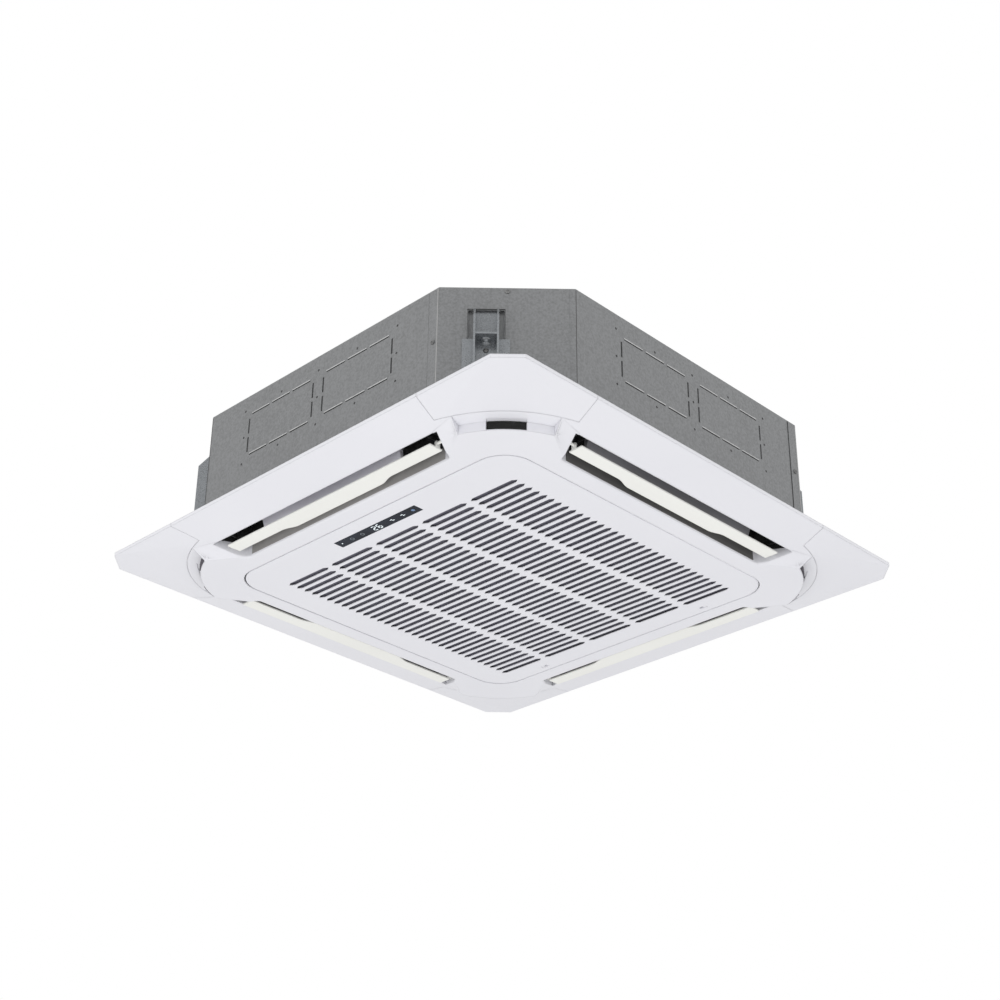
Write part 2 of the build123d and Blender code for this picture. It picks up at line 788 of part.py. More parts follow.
def line_set_pipe(radius, along, level, header_y, name):
    """Upright header beside the coil's end plate, then a straight run out of the corner."""
    reach = pipe_reach - thread_length
    outlet = pipe_corner.from_local_coords((along, level, reach))
    inward = (outlet.Y - header_y) * sqrt(2)
    knee = pipe_corner.from_local_coords((along, level, reach - inward))
    foot = Vector(knee.X, knee.Y, z(header_bottom))
    with BuildPart() as pipe:
        with BuildLine():
            FilletPolyline(foot, knee, outlet, radius=2 * radius)
        with BuildSketch(Plane(origin=foot, z_dir=(0, 0, 1))):
            Circle(radius)
        sweep()
        with BuildSketch(Plane(origin=(knee.X, knee.Y, z(0)), x_dir=(1, 0, 0), z_dir=(0, -1, 0))):
            for stub in (header_bottom + 2 * radius, (header_bottom + level) / 2):
                with Locations((0, stub)):
                    Circle(bend_tube_radius)
        extrude(amount=knee.Y - coil_end_left - end_plate)
    save(pipe.part, f"{name}_pipe")

    with BuildPart() as union:
        with BuildSketch(pipe_corner.offset(reach - thread_length / 2)):
            with Locations((along, level)):
                RegularPolygon(thread_radius[name] * 1.15, 6, major_radius=False)
                Circle(radius + running, mode=Mode.SUBTRACT)
        extrude(amount=thread_length / 2)
        with BuildSketch(pipe_corner.offset(reach)):
            with Locations((along, level)):
                Circle(thread_radius[name])
                Circle(radius - pipe_wall, mode=Mode.SUBTRACT)
        extrude(amount=thread_length)
    save(union.part, f"{name}_union")


thread_radius = {"gas": gas_thread_radius, "liquid": liquid_thread_radius}
line_set_pipe(gas_radius, gas_at, gas_level, coil_end_left + gas_header_gap, "gas")
line_set_pipe(liquid_radius, liquid_at, liquid_level, coil_end_left + liquid_header_gap, "liquid")

with BuildPart() as pipe_cover:
    with BuildSketch(pipe_corner):
        with Locations(((gas_at + liquid_at) / 2, (gas_level + liquid_level) / 2)):
            Rectangle(liquid_at - gas_at + pipe_cover_margin, pipe_cover_height)
        with Locations((gas_at, gas_level)):
            Circle(gas_radius + free, mode=Mode.SUBTRACT)
        with Locations((liquid_at, liquid_level)):
            Circle(liquid_radius + free, mode=Mode.SUBTRACT)
    extrude(amount=sheet)
save(pipe_cover.part, "pipe_cover")

# ======== drain pump and float ========
outlet_plane = Plane(
    origin=(pump_x, pump_y, z(drain_level)), x_dir=(-1, 0, 0), z_dir=(0, 1, 0)
)
with BuildPart() as drain_pump:
    for level, height, radius in (
        (pan_floor, pump_bottom - pan_floor, pump_radius * 0.4),
        (pump_bottom, pump_top - pump_bottom, pump_radius),
        (pump_top, drain_level + drain_bore - pump_top, drain_bore),
    ):
        with BuildSketch(flat(level)):
            with Locations((pump_x, pump_y)):
                Circle(radius)
        extrude(amount=height)
    with BuildSketch(outlet_plane):
        Circle(drain_bore - running)
    extrude(amount=pump_radius + thread_length)
save(drain_pump.part, "drain_pump")

back_reach = body_half + drain_reach - pump_y
with BuildPart() as drain_outlet:
    with BuildSketch(outlet_plane.offset(pump_radius)):
        Circle(drain_radius)
        Circle(drain_bore, mode=Mode.SUBTRACT)
    extrude(amount=back_reach - pump_radius)
    with BuildSketch(outlet_plane.offset(body_half - pump_y)):
        Circle(drain_radius + drain_flange)
        Circle(drain_bore, mode=Mode.SUBTRACT)
    extrude(amount=drain_flange / 2)
save(drain_outlet.part, "drain_outlet")

float_stop = pan_floor + float_base + face_gap + float_height + float_travel + face_gap
with BuildPart() as float_stem:
    for level, height, radius in (
        (pan_floor, float_base, float_radius),
        (pan_floor, float_stop + 2 * float_base - pan_floor, float_stem_radius),
        (float_stop, float_base, float_cap_radius),
    ):
        with BuildSketch(flat(level)):
            with Locations((float_x, float_y)):
                Circle(radius)
        extrude(amount=height)
save(float_stem.part, "float_stem")

with BuildPart() as float_ring:
    with BuildSketch(flat(pan_floor + float_base + face_gap)):
        with Locations((float_x, float_y)):
            Circle(float_radius)
            Circle(float_stem_radius + running, mode=Mode.SUBTRACT)
    extrude(amount=float_height)
save(float_ring.part, "float_ring")

# ======== control box, under the bell mouth ========
box_middle = (box_near + box_far) / 2
box_width = box_far - box_near
box_bottom = bell_level - box_height
with BuildPart() as control_box:
    with BuildSketch(flat(box_bottom)):
        with Locations((0, box_middle)):
            Rectangle(2 * box_half_length, box_width)
    extrude(amount=box_height)
    with BuildSketch(flat(box_bottom)):
        with Locations((0, box_middle)):
            Rectangle(2 * box_half_length - 2 * box_sheet, box_width - 2 * box_sheet)
    extrude(amount=box_height - box_sheet, mode=Mode.SUBTRACT)
save(control_box.part, "control_box")

with BuildPart() as control_box_lid:
    with BuildSketch(flat(box_bottom - box_sheet)):
        with Locations((0, box_middle)):
            Rectangle(2 * box_half_length, box_width)
    extrude(amount=box_sheet)
save(control_box_lid.part, "control_box_lid")

board_level = bell_level - box_sheet - board_standoff
with BuildPart() as circuit_board:
    with BuildSketch(flat(board_level)):
        with Locations((-box_half_length / 3, box_middle)):
            Rectangle(box_half_length, box_width - 6 * box_sheet)
    extrude(amount=-board_thickness)
    with BuildSketch(flat(board_level)):
        with Locations((-box_half_length / 3, box_middle)):
            with GridLocations(box_half_length * 0.8, box_width * 0.6, 2, 2):
                Circle(board_thickness)
    extrude(amount=board_standoff)
    with BuildSketch(flat(board_level - board_thickness)):
        with Locations((-box_half_length / 3, box_middle)):
            with GridLocations(box_half_length / 4, 1, 3, 1):
                Rectangle(box_half_length / 8, box_width / 3)
    extrude(amount=-board_standoff)
save(circuit_board.part, "circuit_board")

with BuildPart() as terminal_block:
    with BuildSketch(flat(bell_level - box_sheet)):
        with Locations((box_half_length * 0.6, box_middle)):
            Rectangle(box_half_length / 2, box_width / 2)
            with GridLocations(box_half_length / 12, 1, 5, 1):
                Rectangle(box_half_length / 40, box_width / 2 - 2 * box_sheet, mode=Mode.SUBTRACT)
    extrude(amount=-box_height / 2)
save(terminal_block.part, "terminal_block")

grommet_plane = side_face(sides["left"], body_half)
with BuildPart() as cable_grommet:
    for start, length, radius in (
        (0, grommet_wall, grommet_bore + 2 * grommet_wall),
        (-sheet - liner_wall, sheet + liner_wall, grommet_bore + grommet_wall),
    ):
        with BuildSketch(grommet_plane.offset(start)):
            with Locations((-grommet_y, grommet_level)):
                Circle(radius)
                Circle(grommet_bore, mode=Mode.SUBTRACT)
        extrude(amount=length)
save(cable_grommet.part, "cable_grommet")

# ======== decoration panel ========
panel_base = flat(-face_drop)
plenum_half = door_half + door_gap + plenum_margin
bolt_corner = GridLocations(2 * screw_flange_at, 2 * screw_spread, 2, 2)
hinge_y = hinge_inset - door_half
hinge_level = hinge_rise - face_drop
hinge_reach = hinge_y + hinge_arm_radius + back_plate_inner + hinge_foot


def rim(inset=0.0):
    """Outline of the panel's rim, moved inwards."""
    octagon(panel_half - inset, panel_corner_leg - inset * (2 - sqrt(2)))


def vane_end(turn, distance):
    """Plane across a vane's axis; x is outwards, y the level, its normal points to the left."""
    a = radians(turn)
    return Plane(
        origin=(-distance * cos(a), -distance * sin(a), z(0)),
        x_dir=(sin(a), -cos(a), 0),
        z_dir=(-cos(a), -sin(a), 0),
    )


def hinge_plane(x):
    """Plane across the grille's hinge axis; x is +Y, y the level."""
    return Plane(origin=(x, 0, z(0)), x_dir=(0, 1, 0), z_dir=(1, 0, 0))


def frame_block(inset):
    """Everything above the sloped frame's lower surface, or above one moved inwards."""
    with BuildPart(mode=Mode.PRIVATE) as block:
        with BuildSketch(flat(0)):
            rim(inset)
        extrude(amount=inset - rim_height)
        with BuildSketch(flat(inset - rim_height)):
            rim(inset)
        with BuildSketch(flat(inset - frame_drop)):
            rounded(lobe_half, lobe_radius)
        loft(ruled=True)
    return block.part


def lobe_point(turn, radius, angle):
    """Plan point at a radius and angle round the rounding of one corner."""
    a = radians(turn)
    b = radians(turn - 45 + angle)
    x = lobe_center * (cos(a) + sin(a)) + radius * cos(b)
    y = lobe_center * (sin(a) - cos(a)) + radius * sin(b)
    return (x, y)


def lobe_profile(turn, angle):
    """Upright plane through one corner's rounding; x is the radius, y the level."""
    b = radians(turn - 45 + angle)
    x, y = lobe_point(turn, 0, 0)
    return Plane(origin=(x, y, z(0)), x_dir=(cos(b), sin(b), 0), z_dir=(sin(b), -cos(b), 0))


def cover_area(name, grow=0.0, mode=Mode.ADD):
    """Plan of one corner cover, in an open sketch; it runs on past the rim."""
    seam_near = Vector(cover_seam, -lobe_half)
    seam_far = 2 * Vector(cover_seam_rim[name], -panel_width / 2) - seam_near
    with BuildSketch(mode=Mode.PRIVATE) as area:
        Polygon(
            (lobe_center, -lobe_center),
            (seam_near.X, seam_near.Y),
            (seam_far.X, seam_far.Y),
            (-seam_far.Y, seam_far.Y),
            (-seam_far.Y, -seam_far.X),
            (-seam_near.Y, -seam_near.X),
            align=None,
        )
        with Locations((lobe_center, -lobe_center)):
            Circle(scoop_radius, mode=Mode.SUBTRACT)
        offset(amount=grow, kind=Kind.INTERSECTION)
    add(area.sketch, rotation=corners[name], mode=mode)


def is_inner_lip(edge):
    """The long lower edge of an outlet, on the side of the grille."""
    middle = edge.center()
    away = max(abs(middle.X), abs(middle.Y))
    return edge.length > outlet_half_inner and abs(away - outlet_inner) < running


whole_block = frame_block(0)
hollow_block = frame_block(skin)
with BuildPart() as frame_skin:
    add(whole_block)
    add(hollow_block, mode=Mode.SUBTRACT)
    with BuildSketch(panel_base):
        rounded(lobe_half, lobe_radius)
    extrude(amount=face_drop, mode=Mode.SUBTRACT)

# slope that blends the raised face into the frame between an outlet's end and the corner
# outlet: a hollow bridge, and the space below it that it is cut clear from
end_run = Vector(outlet_half_outer - outlet_half_inner, outlet_inner - lobe_half, 0)
end_side = Plane(
    origin=(outlet_half_inner, -outlet_inner, z(0)),
    x_dir=end_run,
    z_dir=end_run.cross(Vector(0, 0, 1)),
).offset(blend_overlap)


def blend_loft(angle, rise, top, mode=Mode.ADD):
    """Ruled solid from an outlet's end to the corner outlet, in an open part."""
    with BuildPart(mode=Mode.PRIVATE) as solid:
        with BuildSketch(end_side):
            Polygon(
                (0, rise - face_drop),
                (end_run.length, rise - frame_drop),
                (end_run.length, top),
                (0, top),
                align=None,
            )
        with BuildSketch(lobe_profile(0, angle)):
            Polygon(
                (lobe_radius, rise - face_drop),
                (scoop_radius, rise + seam_level),
                (scoop_radius, top),
                (lobe_radius, top),
                align=None,
            )
        loft(ruled=True)
    add(solid.part, mode=mode)


with BuildPart() as blend_bridge:
    blend_loft(-scoop_half_angle, 0, blend_top)
    blend_loft(-scoop_half_angle - blend_cheek, skin, face_skin, mode=Mode.SUBTRACT)
with BuildPart() as blend_tool:
    blend_loft(-scoop_half_angle, 0, -face_drop - skin)

with BuildPart() as panel_frame:
    add(frame_skin.part)
    with BuildSketch(panel_base):
        for name in corners:
            cover_area(name)
    extrude(amount=face_drop, mode=Mode.SUBTRACT)
    # outer wall of the raised face, then the face, then the plenum's wall
    with BuildSketch(panel_base):
        rounded(lobe_half, lobe_radius)
        rounded(lobe_half - skin, lobe_radius - skin, mode=Mode.SUBTRACT)
    extrude(amount=face_drop)
    with BuildSketch(panel_base):
        rounded(lobe_half, lobe_radius)
        rounded(door_half + door_gap, door_radius, mode=Mode.SUBTRACT)
    extrude(amount=face_skin)
    with BuildSketch(flat(-face_drop + face_skin)):
        rounded(plenum_half + skin, door_radius + skin)
        rounded(plenum_half, door_radius, mode=Mode.SUBTRACT)
    extrude(amount=face_drop - face_skin)
    # walls of the outlets
    with BuildSketch(panel_base):
        four_outlets(skin, mode=Mode.ADD)
        rounded(lobe_half, lobe_radius, mode=Mode.INTERSECT)
    extrude(amount=face_drop)
    with BuildSketch(flat(-frame_drop + skin / 2)):
        four_outlets(skin, mode=Mode.ADD)
    extrude(amount=frame_drop - skin / 2)
    # back plate
    with BuildSketch(flat(-skin)):
        octagon(back_plate_half, back_plate_leg)
        rounded(back_plate_inner, back_plate_inner_radius, mode=Mode.SUBTRACT)
        with bolt_corner:
            Circle(panel_screw_radius + running, mode=Mode.SUBTRACT)
    extrude(amount=skin)
    for turn in sides.values():
        for flip in (False, True):
            tool = blend_tool.part.mirror(Plane.YZ) if flip else blend_tool.part
            bridge = blend_bridge.part.mirror(Plane.YZ) if flip else blend_bridge.part
            add(tool, rotation=(0, 0, turn), mode=Mode.SUBTRACT)
            add(bridge, rotation=(0, 0, turn))
    # bosses for the vane pins, and arms for the grille's hinge
    for turn in sides.values():
        with BuildSketch(vane_end(turn, boss_short)):
            with Locations((vane_axis, vane_axis_level)):
                Circle(boss_radius)
        extrude(amount=-boss_short - boss_long)
    for x in (-hinge_spread, hinge_spread):
        with BuildSketch(hinge_plane(x - hinge_arm_width / 2)):
            with Locations((hinge_y, hinge_level)):
                Circle(hinge_arm_radius)
                Rectangle(2 * hinge_arm_radius, -hinge_level, align=(Align.CENTER, Align.MIN))
            with Locations((hinge_y + hinge_arm_radius, 0)):
                Rectangle(hinge_reach, hinge_foot, align=(Align.MAX, Align.MAX))
        extrude(amount=hinge_arm_width)
    # openings
    with BuildSketch(panel_base):
        four_outlets(mode=Mode.ADD)
    extrude(amount=face_drop, mode=Mode.SUBTRACT)
    window_width = 2 * lobe_radius * sin(radians(corner_outlet_half_angle))
    with BuildSketch(flat(-face_drop + face_skin / 2)):
        for turn in corners.values():
            with Locations(Location((*lobe_point(turn, lobe_radius, 0), 0), turn - 45)):
                Rectangle(4 * skin, window_width)
    extrude(amount=face_drop - face_skin / 2 - frame_drop + skin / 2, mode=Mode.SUBTRACT)
    for turn in sides.values():
        with BuildSketch(vane_end(turn, boss_short)):
            with Locations((vane_axis, vane_axis_level)):
                Circle(vane_pin_radius + running)
        extrude(amount=-boss_short - boss_long, mode=Mode.SUBTRACT)
        with BuildSketch(vane_end(turn, -boss_long)):
            with Locations((vane_axis, vane_axis_level + vane_motor_rise)):
                Circle(vane_motor_radius + free)
        extrude(amount=-vane_motor_length - free, mode=Mode.SUBTRACT)
    for x in (-hinge_spread, hinge_spread):
        with BuildSketch(hinge_plane(x - hinge_arm_width / 2)):
            with Locations((hinge_y, hinge_level)):
                Circle(hinge_pin_radius + running)
        extrude(amount=hinge_arm_width, mode=Mode.SUBTRACT)
    lips = panel_frame.edges().group_by(Axis.Z)[0].filter_by(is_inner_lip)
    fillet(lips, lip_radius)
save(panel_frame.part, "panel_frame")

with BuildPart() as cover_posts:
    with BuildSketch(flat(-skin)):
        for x, y in ((post_far, -post_near), (post_near, -post_far)):
            with Locations((x, y)):
                Circle(post_radius)
    extrude(amount=-face_drop)
    add(hollow_block, mode=Mode.INTERSECT)

for name, turn in corners.items():
    with BuildPart() as corner_cover:
        add(frame_skin.part)
        with BuildSketch(panel_base):
            cover_area(name, -seam_gap)
        extrude(amount=face_drop, mode=Mode.INTERSECT)
        add(cover_posts.part, rotation=(0, 0, turn))
    save(corner_cover.part, f"corner_cover_{name}")

with BuildPart() as panel_seal:
    with BuildSketch(flat(0)):
        octagon(body_half, body_corner_leg)
        rounded(back_plate_inner, back_plate_inner_radius, mode=Mode.SUBTRACT)
        four_outlets(sheet)
        with bolt_corner:
            Circle(panel_screw_radius + free, mode=Mode.SUBTRACT)
    extrude(amount=body_bottom)
save(panel_seal.part, "panel_seal")

with BuildPart() as panel_screws:
    with BuildSketch(flat(-skin - screw_head_height)):
        with bolt_corner:
            Circle(2 * panel_screw_radius)
    extrude(amount=screw_head_height)
    with BuildSketch(flat(-skin)):
        with bolt_corner:
            Circle(panel_screw_radius)
    extrude(amount=skin + wall_bottom + panel_screw_bite)
save(panel_screws.part, "panel_screws")

# ======== vanes and their motors ========
for name, turn in sides.items():
    with BuildPart() as vane:
        with BuildSketch(flat(vane_level - vane_thickness / 2, turn)):
            with BuildLine():
                blend_start = vane_wide_half + vane_blend
                Polyline(
                    (-blend_start, -vane_inner_narrow),
                    (-vane_half_length, -vane_inner_narrow),
                    (-vane_half_length, -vane_outer),
                    (vane_half_length, -vane_outer),
                    (vane_half_length, -vane_inner_narrow),
                    (blend_start, -vane_inner_narrow),
                )
                Spline(
                    (blend_start, -vane_inner_narrow),
                    (vane_wide_half, -vane_inner),
                    tangents=((-1, 0), (-1, 0)),
                )
                Line((vane_wide_half, -vane_inner), (-vane_wide_half, -vane_inner))
                Spline(
                    (-vane_wide_half, -vane_inner),
                    (-blend_start, -vane_inner_narrow),
                    tangents=((-1, 0), (-1, 0)),
                )
            make_face()
        extrude(amount=vane_thickness)
        fillet(vane.faces().sort_by(Axis.Z)[0].edges(), vane_thickness * 0.4)
        for end in (-vane_half_length, vane_half_length - vane_arm_thickness):
            with BuildSketch(vane_end(turn, -end)):
                with Locations((vane_axis, vane_axis_level)):
                    Circle(vane_arm_width / 2)
                    Rectangle(
                        vane_arm_width, vane_axis_level - vane_level, align=(Align.CENTER, Align.MAX)
                    )
            extrude(amount=-vane_arm_thickness)
        for start, stop in (
            (-boss_short + 2, -vane_half_length),
            (vane_half_length, boss_long + face_gap + motor_bite),
        ):
            with BuildSketch(vane_end(turn, -start)):
                with Locations((vane_axis, vane_axis_level)):
                    Circle(vane_pin_radius)
            extrude(amount=start - stop)
    save(vane.part, f"vane_{name}")

with BuildPart() as vane_motors:
    for turn in sides.values():
        with BuildSketch(vane_end(turn, -boss_long - face_gap)):
            with Locations((vane_axis, vane_axis_level + vane_motor_rise)):
                Circle(vane_motor_radius)
        extrude(amount=-vane_motor_length)
        with BuildSketch(vane_end(turn, -boss_long - face_gap)):
            with Locations((vane_axis, vane_axis_level)):
                Circle(vane_pin_radius + running)
        extrude(amount=-motor_bite - face_gap, mode=Mode.SUBTRACT)
save(vane_motors.part, "vane_motors")

# ======== grille ========
with BuildSketch() as slot:
    Polygon(
        (-column_width / 2, 0),
        (-column_width / 2 + slot_point, -slot_height / 2),
        (column_width / 2 - slot_point, -slot_height / 2),
        (column_width / 2, 0),
        (column_width / 2 - slot_point, slot_height / 2),
        (-column_width / 2 + slot_point, slot_height / 2),
        align=None,
    )

skirt_half = door_half - door_skirt_inset
latch_x = latch_spread
latch_y = skirt_half - skin - latch_width / 2 - face_gap
with BuildPart() as intake_grille:
    with BuildSketch(panel_base):
        rounded(door_half, door_radius)
    extrude(amount=face_skin)
    fillet(intake_grille.faces().sort_by(Axis.Z)[0].edges(), face_edge)
    with BuildSketch(panel_base):
        with Locations((0, slot_shift)):
            with GridLocations(column_pitch, slot_pitch, slot_columns, slot_rows):
                add(slot.sketch)
        with Locations((0, -display_at)):
            Rectangle(display_width, display_height)
        for flip in (-1, 1):
            with Locations((flip * (latch_x - latch_travel / 2), latch_y)):
                Rectangle(latch_pad + latch_travel + 2 * free, latch_pad + 2 * free)
    extrude(amount=face_skin, mode=Mode.SUBTRACT)
    with BuildSketch(flat(-face_drop + slot_bar_thickness)):
        with Locations((0, slot_shift)):
            with GridLocations(column_pitch, 1, slot_columns, 1):
                Rectangle(column_width + 2 * skin, slot_rows * slot_pitch)
    extrude(amount=face_skin - slot_bar_thickness, mode=Mode.SUBTRACT)
    with BuildSketch(flat(-face_drop + face_skin)):
        rounded(skirt_half, door_radius - door_skirt_inset)
        rounded(skirt_half - skin, door_radius - door_skirt_inset - skin, mode=Mode.SUBTRACT)
        for flip in (-1, 1):
            with Locations((flip * (latch_x - latch_travel / 2), skirt_half)):
                Rectangle(latch_pad + latch_travel + 2 * free, 4 * skin, mode=Mode.SUBTRACT)
            with Locations((flip * latch_x, latch_y - latch_width / 2 - face_gap - skin / 2)):
                Rectangle(latch_length + 2 * latch_travel, skin)
    extrude(amount=door_skirt_height)
    with BuildSketch(flat(-face_drop + hinge_pocket_floor)):
        with Locations((-hinge_spread, hinge_y), (hinge_spread, hinge_y)):
            Rectangle(hinge_arm_width + 2 * free, 2 * hinge_arm_radius + 6 * free)
    extrude(amount=face_skin - hinge_pocket_floor, mode=Mode.SUBTRACT)
    for x in (-hinge_spread, hinge_spread):
        for edge in (-1, 1):
            start = x + edge * (hinge_arm_width / 2 + free)
            with BuildSketch(hinge_plane(start)):
                with Locations((hinge_y, hinge_level)):
                    Circle(hinge_arm_radius)
                    Rectangle(
                        2 * hinge_arm_radius,
                        hinge_rise - face_skin,
                        align=(Align.CENTER, Align.MAX),
                    )
                    Circle(hinge_pin_radius, mode=Mode.SUBTRACT)
            extrude(amount=edge * hinge_ear)
save(intake_grille.part, "intake_grille")

pin_reach = hinge_arm_width / 2 + free + hinge_ear
with BuildPart() as grille_hinge_pins:
    for x in (-hinge_spread, hinge_spread):
        with BuildSketch(hinge_plane(x - pin_reach)):
            with Locations((hinge_y, hinge_level)):
                Circle(hinge_pin_radius)
        extrude(amount=2 * pin_reach)
save(grille_hinge_pins.part, "grille_hinge_pins")

for name, flip in (("left", -1), ("right", 1)):
    with BuildPart() as latch:
        with BuildSketch(flat(-face_drop + face_skin + face_gap)):
            with Locations((flip * latch_x, latch_y)):
                Rectangle(latch_length + latch_travel, latch_width)
            with Locations((flip * latch_x, latch_y)):
                Rectangle(latch_pad, door_half + free - latch_y, align=(Align.CENTER, Align.MIN))
        extrude(amount=latch_thickness)
        with BuildSketch(flat(-face_drop + free)):
            with Locations((flip * latch_x, latch_y)):
                Rectangle(latch_pad, latch_pad)
        extrude(amount=face_skin)
    save(latch.part, f"grille_latch_{name}")

with BuildPart() as display_lens:
    with BuildSketch(panel_base):
        with Locations((0, -display_at)):
            Rectangle(display_width - free, display_height - free)
    extrude(amount=face_skin)
save(display_lens.part, "display_lens")

with BuildPart() as display_board:
    with BuildSketch(flat(-face_drop + face_skin)):
        with Locations((0, -display_at)):
            Rectangle(display_width + display_height / 2, display_height * 1.4)
    extrude(amount=board_thickness)
save(display_board.part, "display_board")

with BuildPart() as filter_frame:
    with BuildSketch(flat(-face_drop + face_skin)):
        with Locations((0, slot_shift)):
            Rectangle(2 * filter_half_width, 2 * filter_half_length)
            Rectangle(
                2 * (filter_half_width - filter_frame_width),
                2 * (filter_half_length - filter_frame_width),
                mode=Mode.SUBTRACT,
            )
    extrude(amount=filter_thickness)
    with BuildSketch(flat(-face_drop + face_skin + (filter_thickness + mesh_thickness) / 2)):
        with Locations((0, slot_shift)):
            with GridLocations(2 * filter_half_width / 3, 1, 2, 1):
                Rectangle(filter_bar, 2 * filter_half_length)
            Rectangle(2 * filter_half_width, filter_bar)
    extrude(amount=(filter_thickness - mesh_thickness) / 2)
save(filter_frame.part, "filter_frame")

with BuildPart() as filter_mesh:
    with BuildSketch(flat(-face_drop + face_skin + (filter_thickness - mesh_thickness) / 2)):
        with Locations((0, slot_shift)):
            Rectangle(
                2 * (filter_half_width - filter_frame_width),
                2 * (filter_half_length - filter_frame_width),
            )
    extrude(amount=mesh_thickness)
save(filter_mesh.part, "filter_mesh")
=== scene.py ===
import json
from math import cos, radians, sin, tau

import bmesh
import bpy
from mathutils import Matrix, Vector


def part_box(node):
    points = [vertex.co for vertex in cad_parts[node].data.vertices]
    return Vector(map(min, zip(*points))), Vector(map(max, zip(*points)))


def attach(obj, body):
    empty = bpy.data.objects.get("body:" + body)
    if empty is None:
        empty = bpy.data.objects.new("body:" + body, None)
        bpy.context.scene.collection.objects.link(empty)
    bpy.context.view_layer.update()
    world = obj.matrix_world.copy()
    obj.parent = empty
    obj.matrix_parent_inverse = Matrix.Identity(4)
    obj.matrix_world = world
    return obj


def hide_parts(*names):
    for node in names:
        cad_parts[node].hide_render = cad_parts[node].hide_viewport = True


# Looks of the ceiling cassette: materials on the frame's nodes, and the small pieces that
# the solids leave plain. Metres, +Z up, -Y the display's side.

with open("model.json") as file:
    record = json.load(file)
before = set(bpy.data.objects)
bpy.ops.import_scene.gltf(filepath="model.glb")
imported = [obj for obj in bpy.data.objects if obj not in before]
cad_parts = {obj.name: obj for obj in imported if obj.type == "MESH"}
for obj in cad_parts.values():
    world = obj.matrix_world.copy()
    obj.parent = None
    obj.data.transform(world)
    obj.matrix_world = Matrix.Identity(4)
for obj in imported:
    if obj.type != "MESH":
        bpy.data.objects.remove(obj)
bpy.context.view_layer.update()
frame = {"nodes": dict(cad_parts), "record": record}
nodes = frame["nodes"]
slot_of = {p["node"]: p["material_slot"] for p in frame["record"]["subparts"]}
mm = 0.001

# ---- the camera of the photo ----
camera_place = (1.93659, -1.97008, -1.49849)
camera_azimuth = radians(44.609)
camera_elevation = radians(-28.535)
camera_roll = radians(0.557)
sensor_width = 36.0
focal_pixels = 1833.22
photo_width = 1000.0


def add_camera():
    """The camera looks up at the unit from below its near corner."""
    az, el, roll = camera_azimuth, camera_elevation, camera_roll
    back = Vector((sin(az) * cos(el), -cos(az) * cos(el), sin(el)))
    side = (-back).cross(Vector((0, 0, 1))).normalized()
    up = side.cross(-back)
    right = cos(roll) * side + sin(roll) * up
    top = -sin(roll) * side + cos(roll) * up
    data = bpy.data.cameras.new("camera")
    data.sensor_width = sensor_width
    data.lens = focal_pixels / photo_width * sensor_width
    camera = bpy.data.objects.new("camera", data)
    place = Matrix((right, top, back)).transposed().to_4x4()
    place.translation = camera_place
    camera.matrix_world = place
    bpy.context.scene.collection.objects.link(camera)
    bpy.context.scene.camera = camera


